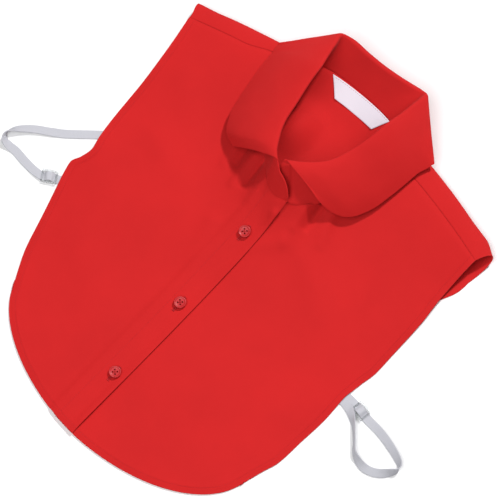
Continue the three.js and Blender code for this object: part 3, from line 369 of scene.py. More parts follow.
@dataclass(frozen=True)
class BibForm:
    """The sizes that every piece of the bib follows, and the surfaces they lie on."""

    body_length: float = 383
    body_width: float = 350
    hem_below_origin: float = 192.5
    hem_depth: float = 74.5
    hem_sag: float = 0.9
    hem_lowest_x: float = 20
    hem_rounding_right: float = 1.79
    hem_rounding_left: float = 2.0
    back_inset: float = 7
    placket_width: float = 24.5
    placket_bow: float = 1.2
    lap_steepness: float = 3.1
    back_thickness: float = 1.2
    front_thickness: float = 1.2
    layer_gap: float = 0.3
    placket_gap: float = 0.45
    neck_width: float = 108
    neck_front_depth: float = 102
    neck_back_depth: float = 25
    neck_x: float = -5
    neck_y: float = 190
    neck_skew: float = 8
    neck_back_rounding: float = 0.55
    neck_rise: float = 22
    neck_rise_at_sides: float = 0.72
    neck_rise_fade: float = 3.6
    back_neck_height: float = 7
    back_neck_descent: float = 1.6
    ripple_height: float = 1.1
    ripple_count: float = 15
    ripple_fade: float = 5.5
    ripple_onset: float = 12
    shoulder_rise: float = 9.5
    shoulder_fade: float = 62
    seam_to_fold_right: float = 15.3
    seam_to_fold_left: float = 18.5
    seam_to_fold_at_neck: float = 1.1
    shoulder_tip_drop: float = 26
    shoulder_arch: float = 3.1
    seam_hook: float = 5.5
    armhole_puff: float = 5.5
    armhole_puff_radius: float = 37
    armhole_pinch: float = 0.75
    armhole_pinch_drop: float = 38
    armhole_pinch_radius: float = 36
    corner_dent: float = 2.5
    corner_dent_radius: float = 22
    stand_lap_shift: float = 1.5
    lap_span: Pair = (16, 30)
    hook_rise: float = 0.2
    hook_fall: Pair = (0.3, 0.55)
    stand_first_turn: float = -11
    stand_last_turn: float = 373

    @property
    def front_base(self) -> float:
        """Height of the front's underside where it lies flat."""
        return self.back_thickness + self.layer_gap

    @property
    def half_body(self) -> float:
        """Half of the body's width."""
        return self.body_width / 2

    @property
    def half_placket(self) -> float:
        """Half of the placket's width."""
        return self.placket_width / 2

    def lap_at(self, turn: float) -> float:
        """Returns the share of the placket's extra layer at a place round the neck."""
        return 1 - ease(*self.lap_span, turn)

    def neck_seam(self, turn: float, lap: float = 0) -> Vector:
        """Returns the neck seam's plan point.

        Args:
            turn: Degrees round the neck from the throat.
            lap: 1 on the half that lies on top at the throat.

        Returns:
            The plan point.
        """
        angle = math.radians(turn)
        forward = math.cos(angle)
        x = self.neck_x - self.neck_width / 2 * math.sin(angle) + self.neck_skew * forward
        if forward > 0:
            y = self.neck_y - self.neck_front_depth * forward - lap * self.stand_lap_shift
        else:
            y = self.neck_y + self.neck_back_depth * abs(forward) ** self.neck_back_rounding
        return Vector((x, y, 0))

    def neck_polar(self, x: float, y: float) -> Pair:
        """Returns how far a point is outside the neck hole, 1 on its edge, and its angle.

        Args:
            x: The plan point's X.
            y: Its Y.

        Returns:
            The distance, as a share of the hole's size, and the angle from the throat.
        """
        forward = (self.neck_y - y) / self.neck_front_depth
        side = (x - self.neck_x - self.neck_skew * forward) / (self.neck_width / 2)
        ahead = max(forward, 0.0)
        return max(math.hypot(side, ahead), 1.0), math.atan2(side, ahead)

    def tip(self, side: Side) -> Vector:
        """Returns the outer end of the shoulder seam."""
        share = SIDES[-1][1 if side is Side.RIGHT else 2]
        return Vector((side.value * self.half_body * share, self.neck_y - self.shoulder_tip_drop, 0))

    def neck_point(self, side: Side) -> Vector:
        """Returns the inner end of the shoulder seam."""
        return self.neck_seam(90 if side is Side.RIGHT else 270)

    def hook_at(self, side: Side, share: float) -> float:
        """Returns how far the right shoulder seam turns up beside the collar.

        Args:
            side: The wearer's side.
            share: The share of the way to the tip.

        Returns:
            The distance.
        """
        if side is Side.LEFT:
            return 0.0
        return self.seam_hook * ease(0, self.hook_rise, share) * (1 - ease(*self.hook_fall, share))

    def shoulder_seam(self, side: Side, share: float) -> Vector:
        """Returns the shoulder seam's plan point at a share of the way to the tip.

        Args:
            side: The wearer's side.
            share: The share of the way.

        Returns:
            The plan point.
        """
        point = self.neck_point(side).lerp(self.tip(side), share)
        point.y += self.shoulder_arch * math.sin(math.pi * share) + self.hook_at(side, share)
        return point

    def shoulder_seam_y(self, x: float) -> float:
        """Returns the shoulder seam's Y at an X.

        Args:
            x: The X.

        Returns:
            The Y.
        """
        side = Side.RIGHT if x < self.neck_x else Side.LEFT
        near, far = self.neck_point(side), self.tip(side)
        return self.shoulder_seam(side, clamp((x - near.x) / (far.x - near.x))).y

    def front_height(self, x: float, y: float) -> float:
        """Returns the height of the front's underside over the table.

        Args:
            x: The plan point's X.
            y: Its Y.

        Returns:
            The height, with the neck's rise, the shoulders' roll and the ripples.
        """
        radius, angle = self.neck_polar(x, y)
        at_sides = mix(self.neck_rise_at_sides, 1, math.cos(angle) ** 2)
        neck = self.neck_rise * at_sides * math.exp(-self.neck_rise_fade * (radius - 1))
        below = max(self.shoulder_seam_y(x) - y, 0)
        shoulder = self.shoulder_rise * math.exp(-((below / self.shoulder_fade) ** 2))
        tip = self.tip(Side.LEFT)
        puff = self.armhole_puff * hump(math.hypot(x - tip.x, y - tip.y), 0, self.armhole_puff_radius)
        pinched = math.hypot(x - tip.x, y - tip.y + self.armhole_pinch_drop)
        shoulder *= 1 - self.armhole_pinch * hump(pinched, 0, self.armhole_pinch_radius)
        corner = ARMHOLE_CORNER
        dent_x = -self.half_body * corner[1]
        dent_y = corner[0] * self.body_length - self.hem_below_origin
        dent = self.corner_dent * hump(math.hypot(x - dent_x, y - dent_y), 0, self.corner_dent_radius)
        onset = 1 - math.exp(-self.ripple_onset * (radius - 1))
        at_ripples = math.exp(-self.ripple_fade * (radius - 1)) * onset * max(math.cos(angle), 0)
        ripple = self.ripple_height * at_ripples * (1 + math.cos(self.ripple_count * angle))
        return self.front_base + math.hypot(neck, shoulder) + puff + dent + ripple

    def front_normal(self, x: float, y: float) -> Vector:
        """Returns the front's upright direction at a point.

        Args:
            x: The plan point's X.
            y: Its Y.

        Returns:
            The direction, one long.
        """
        slope_x = (self.front_height(x + 1, y) - self.front_height(x - 1, y)) / 2
        slope_y = (self.front_height(x, y + 1) - self.front_height(x, y - 1)) / 2
        return Vector((-slope_x, -slope_y, 1)).normalized()

    def lap_step(self, x: float, y: float) -> float:
        """Returns how much higher the top layer lies where the front is double."""
        step = self.front_thickness + self.placket_gap
        return step / self.front_normal(x, y).z ** self.lap_steepness

    def neck_seam_height(self, turn: float, lap: float = 0) -> float:
        """Returns the height of the neck seam's middle line.

        Args:
            turn: Degrees round the neck from the throat.
            lap: 1 on the half that lies on top at the throat.

        Returns:
            The height.
        """
        folded = min(turn, 360 - turn)
        front = self.neck_seam(turn)
        if folded <= 90:
            middle = self.front_height(front.x, front.y) + self.front_thickness / 2
            return middle + lap * self.lap_step(front.x, front.y)
        side = self.neck_point(Side.RIGHT if turn < 180 else Side.LEFT)
        side_height = self.front_height(side.x, side.y) + self.front_thickness / 2
        share = 1 - (folded - 90) / 90
        return mix(self.back_neck_height, side_height, share ** self.back_neck_descent)

    def neck_seam_point(self, turn: float, lap: float = 0) -> Vector:
        """Returns the neck seam's point in space.

        Args:
            turn: Degrees round the neck from the throat.
            lap: 1 on the half that lies on top at the throat.

        Returns:
            The point.
        """
        point = self.neck_seam(turn, lap)
        point.z = self.neck_seam_height(turn, lap)
        return point

    def side_point(self, side: Side, up: float, inset: float = 0) -> Vector:
        """Returns a plan point of a side edge.

        Args:
            side: The wearer's side.
            up: Share of the body's length.
            inset: 1 for the back panel's edge and 0 for the front's.

        Returns:
            The plan point.
        """
        right = side is Side.RIGHT
        edge = read_table(SIDES, 1 if right else 2, up)
        inside = read_table(SIDES, 3 if right else 4, up)
        reach = self.half_body * edge - self.back_inset * inside * inset
        return Vector((side.value * reach, up * self.body_length - self.hem_below_origin, 0))

    def hem_point(self, place: float, inset: float = 0) -> Vector:
        """Returns a plan point of the rounded hem; place runs from -1 to 1.

        Args:
            place: From -1 at the wearer's right corner to 1 at the left one.
            inset: 1 for the back panel's edge and 0 for the front's.

        Returns:
            The plan point.
        """
        side = Side.RIGHT if place < 0 else Side.LEFT
        power = self.hem_rounding_right if side is Side.RIGHT else self.hem_rounding_left
        depth = self.hem_depth + self.hem_sag - self.back_inset * inset
        centre_y = self.hem_depth - self.hem_below_origin
        corner_y = SIDES[0][0] * self.body_length - self.hem_below_origin
        drop = (centre_y - corner_y) / depth
        corner = abs(self.side_point(side, SIDES[0][0], inset).x - self.hem_lowest_x)
        reach = corner / (1 - drop ** power) ** (1 / power)
        angle = abs(place) * math.acos(drop ** (power / 2))
        x = self.hem_lowest_x + side.value * reach * math.sin(angle) ** (2 / power)
        return Vector((x, centre_y - depth * math.cos(angle) ** (2 / power), 0))

    def hem_place_at(self, x: float) -> float:
        """Returns the hem's place at an X."""
        return find_place(-1, 1, x, lambda place: self.hem_point(place).x)


@dataclass(frozen=True)
class Patch:
    """Fills the area between four border curves, each from 0 to 1."""

    bottom: Callable[[float], Vector]
    top: Callable[[float], Vector]
    inner: Callable[[float], Vector]
    outer: Callable[[float], Vector]

    def point(self, across: float, along: float) -> Vector:
        """Returns the plan point at two shares.

        Args:
            across: Share across.
            along: Share along.

        Returns:
            The point.
        """
        point = self.bottom(across) * (1 - along) + self.top(across) * along
        point += self.inner(along) * (1 - across) + self.outer(along) * across
        point -= self.bottom(0) * ((1 - across) * (1 - along)) + self.bottom(1) * (across * (1 - along))
        point -= self.top(0) * ((1 - across) * along) + self.top(1) * (across * along)
        return point


class Outline:
    """A plan curve that points can be measured from."""

    def __init__(self, points: Iterable[Vector], step: float = 0.8) -> None:
        """Keeps a curve as closely spaced points.

        Args:
            points: The curve's points.
            step: The largest distance between two kept points.
        """
        raw = list(points)
        kept = [raw[0]]
        for start, end in zip(raw, raw[1:]):
            count = max(1, math.ceil((end - start).length / step))
            kept += [start.lerp(end, (index + 1) / count) for index in range(count)]
        self.points = kept
        self.flat = numpy.array([(point.x, point.y) for point in kept])

    def distance(self, x: float, y: float) -> float:
        """Returns how far a plan point lies from the curve."""
        offset = self.flat - (x, y)
        return float(numpy.sqrt((offset ** 2).sum(axis=1).min()))

    def parallel(self, inward: float, left_hand: bool) -> list[Vector]:
        """Returns the curve moved sideways in plan.

        Args:
            inward: How far it moves.
            left_hand: Whether it moves to the left of its own direction.

        Returns:
            The moved points.
        """
        moved = []
        last = len(self.points) - 1
        for index, point in enumerate(self.points):
            along = self.points[min(index + 2, last)] - self.points[max(index - 2, 0)]
            side = Vector((-along.y, along.x, 0)).normalized()
            moved.append(point + side * (inward if left_hand else -inward))
        return moved


class MeshMaker:
    """Turns sheets, rows of stitches and turned shapes into finished objects."""

    @staticmethod
    def finish(name: str, bm: bmesh.types.BMesh, smooth: bool = True) -> Object:
        """Makes an object of a mesh in millimetres.

        Args:
            name: The piece's name.
            bm: The mesh, which is freed.
            smooth: Whether its faces are shaded smooth.

        Returns:
            The object, with its mesh in metres and its place in the mesh.
        """
        bmesh.ops.scale(bm, vec=(MM, MM, MM), verts=bm.verts)
        for face in bm.faces:
            face.smooth = smooth
        mesh = bpy.data.meshes.new(name)
        bm.to_mesh(mesh)
        bm.free()
        piece = bpy.data.objects.new(name, mesh)
        bpy.context.scene.collection.objects.link(piece)
        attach(piece, BODY)
        return piece

    @staticmethod
    def sheet(name: str, columns: Sequence[float], rows: Sequence[float], place: Place,
              faces_up: bool = True) -> Object:
        """Lays a divided sheet along a surface.

        Args:
            name: The piece's name.
            columns: The places of its lines across.
            rows: The places of its lines along.
            place: Gives the point, the cut's own coordinates and the hem's weight at two places.
            faces_up: Whether most of its faces look up.

        Returns:
            The object, with the cut's coordinates as its UV map and a vertex group for the hem.
        """
        bm = bmesh.new()
        bmesh.ops.create_grid(bm, x_segments=len(columns) - 1, y_segments=len(rows) - 1, size=1)
        cut = bm.loops.layers.uv.new("cut")
        hem = bm.verts.layers.deform.verify()
        flat: dict[int, Pair] = {}
        bm.verts.index_update()
        for vert in bm.verts:
            column = columns[round((vert.co.x + 1) / 2 * (len(columns) - 1))]
            row = rows[round((vert.co.y + 1) / 2 * (len(rows) - 1))]
            vert.co, flat[vert.index], vert[hem][0] = place(column, row)
        for face in bm.faces:
            for loop in face.loops:
                u, v = flat[loop.vert.index]
                loop[cut].uv = (u / CUT_UNIT, v / CUT_UNIT)
        bm.normal_update()
        upward = sum(face.normal.z * face.calc_area() for face in bm.faces)
        if (upward > 0) != faces_up:
            bmesh.ops.reverse_faces(bm, faces=bm.faces)
        piece = MeshMaker.finish(name, bm)
        piece.vertex_groups.new(name="hem")
        return piece

    @staticmethod
    def wall(piece: Object, thickness: float, plain_share: float, offset: float,
             edge_radius: float) -> None:
        """Gives a sheet its thickness and a rounded edge.

        Args:
            piece: The sheet.
            thickness: Its thickness where the hem's weight is 1.
            plain_share: The share of it where the weight is 0.
            offset: -1 to thicken against its normals and 0 to both sides.
            edge_radius: The radius of its rounded edge.
        """
        solidify = piece.modifiers.new("thickness", "SOLIDIFY")
        solidify.thickness = thickness * MM
        solidify.offset = offset
        solidify.vertex_group = "hem"
        solidify.thickness_vertex_group = plain_share
        bevel = piece.modifiers.new("edge", "BEVEL")
        bevel.width = edge_radius * MM
        bevel.segments = 2
        bevel.limit_method = "ANGLE"
        bevel.angle_limit = EDGE_ANGLE

    @staticmethod
    def stitches(name: str, rows: Iterable[Sequence[Vector]], pitch: float = 2.5,
                 length: float = 1.9, width: float = 0.42) -> Object:
        """Sews rows of single stitches along lines in space.

        Args:
            name: The piece's name.
            rows: The lines, each as closely spaced points.
            pitch: The distance from stitch to stitch.
            length: The length of one stitch.
            width: The thread's width.

        Returns:
            The object.
        """
        bm = bmesh.new()
        for line in rows:
            walked, due = 0.0, pitch / 2
            for start, end in zip(line, line[1:]):
                step = (end - start).length
                if step > 1e-6 and walked + step >= due:
                    point = start.lerp(end, (due - walked) / step)
                    turn = (end - start).to_track_quat("X", "Z").to_matrix().to_4x4()
                    size = Matrix.Diagonal((length / 2, width / 2, width / 2.6, 1))
                    place = Matrix.Translation(point) @ turn @ size
                    bmesh.ops.create_icosphere(bm, subdivisions=1, radius=1, matrix=place)
                    due += pitch
                walked += step
        return MeshMaker.finish(name, bm)


class Nodes:
    """Shorthand for building a material's or a group's nodes."""

    def __init__(self, tree: NodeTree) -> None:
        """Keeps the tree that the nodes go into."""
        self.tree = tree

    def fill(self, node: Node, values: dict[str | int, object]) -> None:
        """Sets a node's inputs.

        Args:
            node: The node.
            values: A value or a socket to link from, for each input.
        """
        for name, value in values.items():
            if isinstance(value, Socket):
                self.tree.links.new(value, node.inputs[name])
            else:
                node.inputs[name].default_value = value

    def add(self, kind: str, values: dict[str | int, object] | None = None,
            **settings: object) -> Node:
        """Adds a node.

        Args:
            kind: The node's type.
            values: A value or a socket to link from, for each input.
            settings: Attributes of the node itself.

        Returns:
            The node.
        """
        node = self.tree.nodes.new(kind)
        for name, value in settings.items():
            setattr(node, name, value)
        self.fill(node, values or {})
        return node

    def math(self, operation: str, first: object, second: object = 0.0) -> Socket:
        """Adds a Math node and returns its output."""
        return self.add("ShaderNodeMath", {0: first, 1: second}, operation=operation).outputs[0]

    def blend(self, share: object, first: object, second: object) -> Socket:
        """Adds a colour mix and returns its output."""
        return self.add("ShaderNodeMix", {0: share, 6: first, 7: second}, data_type="RGBA").outputs[2]

    def bump(self, height: object, strength: float, distance: float) -> Socket:
        """Adds a Bump node and returns its output."""
        values = {"Height": height, "Strength": strength, "Distance": distance}
        return self.add("ShaderNodeBump", values).outputs[0]

    def cut(self) -> Socket:
        """Adds the cut's coordinates and returns their output."""
        return self.add("ShaderNodeUVMap", uv_map="cut").outputs[0]

    def place(self) -> Socket:
        """Adds the coordinates in the object and returns their output."""
        return self.add("ShaderNodeTexCoord").outputs["Object"]

    def effect(self, group: NodeTree, coordinate: Socket,
               values: dict[str, float]) -> Node:
        """Adds a shared effect with its coordinates and values, and returns its node."""
        return self.add("ShaderNodeGroup", {"Coordinate": coordinate, **values}, node_tree=group)


GroupParts = tuple[NodeTree, Nodes, Node, Node]


def new_group(name: str, inputs: dict[str, float | None], outputs: Sequence[str]) -> GroupParts:
    """Starts a shader node group.

    Args:
        name: The group's name.
        inputs: The value of each input, or None where it is a vector.
        outputs: The names of its outputs, which are numbers.

    Returns:
        The group, its node maker, its input node and its output node.
    """
    group = bpy.data.node_groups.new(name, "ShaderNodeTree")
    for label, value in inputs.items():
        kind = "NodeSocketVector" if value is None else "NodeSocketFloat"
        socket = group.interface.new_socket(name=label, in_out="INPUT", socket_type=kind)
        if value is not None:
            socket.default_value = value
    for label in outputs:
        group.interface.new_socket(name=label, in_out="OUTPUT", socket_type="NodeSocketFloat")
    nodes = Nodes(group)
    return group, nodes, nodes.add("NodeGroupInput"), nodes.add("NodeGroupOutput")


class PlainWeave:
    """Over-and-under weave of fine yarns, with slubs, as a height and a tone."""

    SLUB_STRETCHES = ((9.0, 160.0, 1.0), (150.0, 8.0, 1.0))
    YARN_SHARE = 0.6

    def __init__(self) -> None:
        """Builds the node group."""
        self.group, n, given, out = new_group(
            "plain_weave", {"Coordinate": None, "Yarns per unit": 300.0, "Slub": 0.4}, ("Height", "Tone"))
        cut, yarns, slub = given.outputs[:3]
        scaled = n.add("ShaderNodeVectorMath", {0: cut, 3: yarns}, operation="SCALE")
        parts = n.add("ShaderNodeSeparateXYZ", {0: scaled.outputs[0]})
        warp, weft = [n.math("SINE", n.math("MULTIPLY", part, math.pi)) for part in parts.outputs[:2]]
        yarn = n.math("ABSOLUTE", n.math("MULTIPLY", warp, weft))
        slubs = []
        for stretch in self.SLUB_STRETCHES:
            stretched = n.add("ShaderNodeMapping", {"Vector": cut, "Scale": stretch}).outputs[0]
            texture = n.add("ShaderNodeTexNoise", {"Vector": stretched, "Scale": 1.0, "Detail": 3.0})
            slubs.append(texture.outputs[0])
        uneven = n.math("MULTIPLY", n.math("ADD", slubs[0], slubs[1]), slub)
        height = n.math("ADD", n.math("MULTIPLY", yarn, self.YARN_SHARE), uneven)
        n.fill(out, {0: height, 1: uneven})


class Ribbing:
    """Fine ribs across one direction of the cut, as a height."""

    CROSS_SHARE = 0.5

    def __init__(self) -> None:
        """Builds the node group."""
        self.group, n, given, out = new_group(
            "ribbing", {"Coordinate": None, "Ribs per unit": 100.0, "Cross ribs per unit": 200.0},
            ("Height",))
        parts = n.add("ShaderNodeSeparateXYZ", {0: given.outputs[0]})
        waves = []
        for part, count in zip(parts.outputs[:2], given.outputs[1:3]):
            turned = n.math("MULTIPLY", n.math("MULTIPLY", part, count), math.pi)
            waves.append(n.math("ABSOLUTE", n.math("SINE", turned)))
        n.fill(out, {0: n.math("ADD", waves[0], n.math("MULTIPLY", waves[1], self.CROSS_SHARE))})


class Mottle:
    """Soft uneven tone, as a mask; on the shirting it gives dye marks and painted soft shade of crumples.
    """

    def __init__(self) -> None:
        """Builds the node group."""
        self.group, n, given, out = new_group(
            "mottle", {"Coordinate": None, "Scale": 14.0, "Contrast": 1.0}, ("Mask",))
        place, scale, contrast = given.outputs[:3]
        broad = n.add("ShaderNodeTexNoise",
                      {"Vector": place, "Scale": scale, "Detail": 4.0, "Roughness": 0.6})
        centred = n.math("SUBTRACT", broad.outputs[0], 0.5)
        mask = n.add("ShaderNodeClamp", {0: n.math("ADD", n.math("MULTIPLY", centred, contrast), 0.5)})
        n.fill(out, {0: mask.outputs[0]})


@dataclass(frozen=True)
class Finish:
    """A finish with a name, and the record's material slot that it belongs to."""

    name: str
    slot: str

    def begin(self, surface: dict[str, object]) -> tuple[Material, Nodes, Node]:
        """Starts the material.

        Args:
            surface: Values of the Principled node's inputs.

        Returns:
            The material, its node maker and its Principled node, linked to the output.
        """
        material = bpy.data.materials.new(self.name)
        material.use_nodes = True
        material.node_tree.nodes.clear()
        nodes = Nodes(material.node_tree)
        shader = nodes.add("ShaderNodeBsdfPrincipled", surface)
        nodes.add("ShaderNodeOutputMaterial", {"Surface": shader.outputs[0]})
        return material, nodes, shader

    def dress(self, piece: Object, material: Material) -> None:
        """Puts a material on a piece.

        Args:
            piece: The piece.
            material: The finish's material.
        """
        piece.data.materials.clear()
        piece.data.materials.append(material)


@dataclass(frozen=True)
class Shirting(Finish):
    """Fine plain weave cotton."""

    # The two reds that the mottle mixes: their spread is partly dye and partly painted soft shade of
    # crumples.
    light: Colour = (0.565, 0.011, 0.0115, 1)
    deep_dye_and_shade: Colour = (0.475, 0.0085, 0.0092, 1)
    yarns: float = 380
    dye_and_painted_shade_share: float = 0.7
    slub_share: float = 0.35

    def build(self, weave: PlainWeave, mottle: Mottle) -> Material:
        """Builds the material.

        Args:
            weave: The shared weave.
            mottle: The shared mottle, here dye marks and painted soft shade.

        Returns:
            The material.
        """
        material, n, shader = self.begin({
            "Roughness": 0.82, "Specular IOR Level": 0.2, "Sheen Weight": 0.06,
            "Sheen Roughness": 0.5, "Sheen Tint": (1.0, 0.45, 0.42, 1)})
        cloth = n.effect(weave.group, n.cut(), {"Yarns per unit": self.yarns, "Slub": 0.45})
        # Mottle mix of the two reds: dye marks together with painted soft shade standing in for the
        # crumples' shading.
        marks = n.effect(mottle.group, n.place(), {"Scale": 11.0, "Contrast": 2.0})
        tone = n.math("ADD", n.math("MULTIPLY", marks.outputs[0], self.dye_and_painted_shade_share),
                      n.math("MULTIPLY", cloth.outputs["Tone"], self.slub_share))
        n.fill(shader, {"Base Color": n.blend(tone, self.deep_dye_and_shade, self.light),
                        "Normal": n.bump(cloth.outputs["Height"], 0.35, 0.00012)})
        return material


@dataclass(frozen=True)
class SewingThread(Finish):
    """Twisted thread of stitches and buttonholes."""

    colour: Colour = (0.52, 0.012, 0.016, 1)
    shade: Colour = (0.40, 0.008, 0.012, 1)

    def build(self) -> Material:
        """Builds the material.

        Returns:
            The material.
        """
        material, n, shader = self.begin({"Roughness": 0.6, "Specular IOR Level": 0.35})
        twist = n.add("ShaderNodeTexWave", {"Vector": n.place(), "Scale": 900.0, "Distortion": 2.0},
                      bands_direction="DIAGONAL").outputs[1]
        # The twist's low bands take the shade colour: painted shade in the grooves between the plies.
        n.fill(shader, {"Base Color": n.blend(twist, self.shade, self.colour),
                        "Normal": n.bump(twist, 0.4, 0.00008)})
        return material


@dataclass(frozen=True)
class ButtonResin(Finish):
    """Polished, slightly clouded resin."""

    colour: Colour = (0.43, 0.010, 0.013, 1)
    cloud: Colour = (0.50, 0.017, 0.020, 1)

    def build(self, mottle: Mottle) -> Material:
        """Builds the material.

        Args:
            mottle: The shared unevenness.

        Returns:
            The material.
        """
        material, n, shader = self.begin({
            "Specular IOR Level": 0.4, "Coat Weight": 0.06, "Coat Roughness": 0.2})
        marks = n.effect(mottle.group, n.place(), {"Scale": 260.0, "Contrast": 2.0}).outputs[0]
        rough = n.add("ShaderNodeMapRange", {0: marks, 3: 0.36, 4: 0.48})
        n.fill(shader, {"Base Color": n.blend(marks, self.colour, self.cloud),
                        "Roughness": rough.outputs[0]})
        return material


@dataclass(frozen=True)
class WovenSatin(Finish):
    """White satin ribbon of the neck label."""

    colour: Colour = (0.66, 0.62, 0.69, 1)
    shade: Colour = (0.54, 0.48, 0.56, 1)

    def build(self, ribbing: Ribbing) -> Material:
        """Builds the material.

        Args:
            ribbing: The shared ribs.

        Returns:
            The material.
        """
        material, n, shader = self.begin({"Roughness": 0.42, "Sheen Weight": 0.2})
        ribs = n.effect(ribbing.group, n.cut(), {"Ribs per unit": 120.0, "Cross ribs per unit": 420.0})
        edge = n.add("ShaderNodeVertexColor", layer_name="edge")
        # The label turns to the darker colour towards its rim.
        n.fill(shader, {"Base Color": n.blend(edge.outputs[0], self.colour, self.shade),
                        "Normal": n.bump(ribs.outputs[0], 0.2, 0.00008)})
        return material


@dataclass(frozen=True)
class FlatElastic(Finish):
    """White woven elastic with lengthwise ribs."""

    colour: Colour = (0.53, 0.53, 0.575, 1)
    shade: Colour = (0.41, 0.41, 0.45, 1)
    rib_shade_share: float = 0.66

    def build(self, ribbing: Ribbing) -> Material:
        """Builds the material.

        Args:
            ribbing: The shared ribs.

        Returns:
            The material.
        """
        material, n, shader = self.begin({"Roughness": 0.75})
        ribs = n.effect(ribbing.group, n.cut(), {"Ribs per unit": 110.0, "Cross ribs per unit": 160.0})
        # The rib valleys take the shade colour: painted shade between the ribs.
        tone = n.math("MULTIPLY", ribs.outputs[0], self.rib_shade_share)
        n.fill(shader, {"Base Color": n.blend(tone, self.shade, self.colour),
                        "Normal": n.bump(ribs.outputs[0], 0.5, 0.0002)})
        return material


@dataclass(frozen=True)
class ClearPlastic(Finish):
    """Clear moulded plastic of the slides."""

    colour: Colour = (0.93, 0.95, 0.96, 1)

    def build(self) -> Material:
        """Builds the material.

        Returns:
            The material.
        """
        material, n, shader = self.begin({
            "Base Color": self.colour, "Roughness": 0.06, "Transmission Weight": 0.9, "IOR": 1.49})
        ripple = n.add("ShaderNodeTexNoise", {"Vector": n.place(), "Scale": 300.0})
        n.fill(shader, {"Normal": n.bump(ripple.outputs[0], 0.15, 0.0002)})
        return material


@dataclass(frozen=True)
class TableTop(Finish):
    """Plain pale table."""

    pale: Colour = (0.86, 0.86, 0.87, 1)
    paler: Colour = (0.88, 0.88, 0.88, 1)

    def build(self, mottle: Mottle) -> Material:
        """Builds the material.

        Args:
            mottle: The shared unevenness.

        Returns:
            The material.
        """
        material, n, shader = self.begin({"Roughness": 0.9, "Specular IOR Level": 0.1})
        marks = n.effect(mottle.group, n.place(), {"Scale": 3.0})
        n.fill(shader, {"Base Color": n.blend(marks.outputs[0], self.pale, self.paler)})
        return material


@dataclass(frozen=True)
class Finishes:
    """Every material of the part, built once."""

    shirting: Material
    thread: Material
    resin: Material
    satin: Material
    elastic: Material
    plastic: Material
    table: Material

    COTTON = Shirting("red_shirting", "red_cotton")
    THREAD = SewingThread("red_thread", "red_cotton")
    RESIN = ButtonResin("red_resin", "red_button")
    SATIN = WovenSatin("white_satin", "white_satin")
    ELASTIC = FlatElastic("white_elastic", "white_elastic")
    PLASTIC = ClearPlastic("clear_plastic", "clear_plastic")
    TABLE = TableTop("pale_table", "red_cotton")

    @classmethod
    def make(cls) -> "Finishes":
        """Builds the shared node groups and every material.

        Returns:
            The finished set.
        """
        weave, ribbing, mottle = PlainWeave(), Ribbing(), Mottle()
        return cls(
            cls.COTTON.build(weave, mottle), cls.THREAD.build(), cls.RESIN.build(mottle),
            cls.SATIN.build(ribbing), cls.ELASTIC.build(ribbing), cls.PLASTIC.build(),
            cls.TABLE.build(mottle))


@dataclass
class ClothPiece:
    """What every piece of cloth knows: the bib's form, the finishes and the cloth's own relief."""

    form: BibForm
    finishes: Finishes
    hem_width: float = 6.5
    hem_extra: float = 0.35
    hem_step: float = 1.1
    stitch_dent: float = 0.36
    stitch_inset: float = 0.9
    stitch_lift: float = 0.10
    broad_crumple: Pair = (0.55, 58)
    small_crumple: Pair = (0.16, 21)
    pucker_height: float = 0.10
    pucker_size: float = 4.5

    def hem_relief(self, distance: float) -> float:
        """Returns how far a turned hem stands up, at a distance from the edge.

        Args:
            distance: The distance.

        Returns:
            The height, with the dent of the stitches.
        """
        body = self.hem_extra * (1 - ease(self.hem_width, self.hem_width + self.hem_step, distance))
        dent = self.stitch_dent * hump(distance, self.hem_width - self.stitch_inset, 0.7)
        return body - dent

    def hem_weight(self, distance: float) -> float:
        """Returns 1 within the turned hem and 0 inside it, at a distance from the edge."""
        return 1 - ease(self.hem_width, self.hem_width + 1, distance)

    def crumple(self, x: float, y: float, seed: float) -> float:
        """Returns the cloth's soft unevenness at a plan point.

        Args:
            x: The plan point's X.
            y: Its Y.
            seed: Tells one piece's unevenness from another's.

        Returns:
            The height, up or down.
        """
        (broad_height, broad_size), (small_height, small_size) = self.broad_crumple, self.small_crumple
        broad = noise.noise(Vector((x / broad_size, y / broad_size, seed)))
        small = noise.noise(Vector((x / small_size, y / small_size, seed + 7)))
        return broad_height * broad + small_height * small

    def pucker(self, x: float, y: float) -> float:
        """Returns the small gathers that a row of stitches makes."""
        return self.pucker_height * noise.noise(Vector((x / self.pucker_size, y / self.pucker_size, 3.0)))


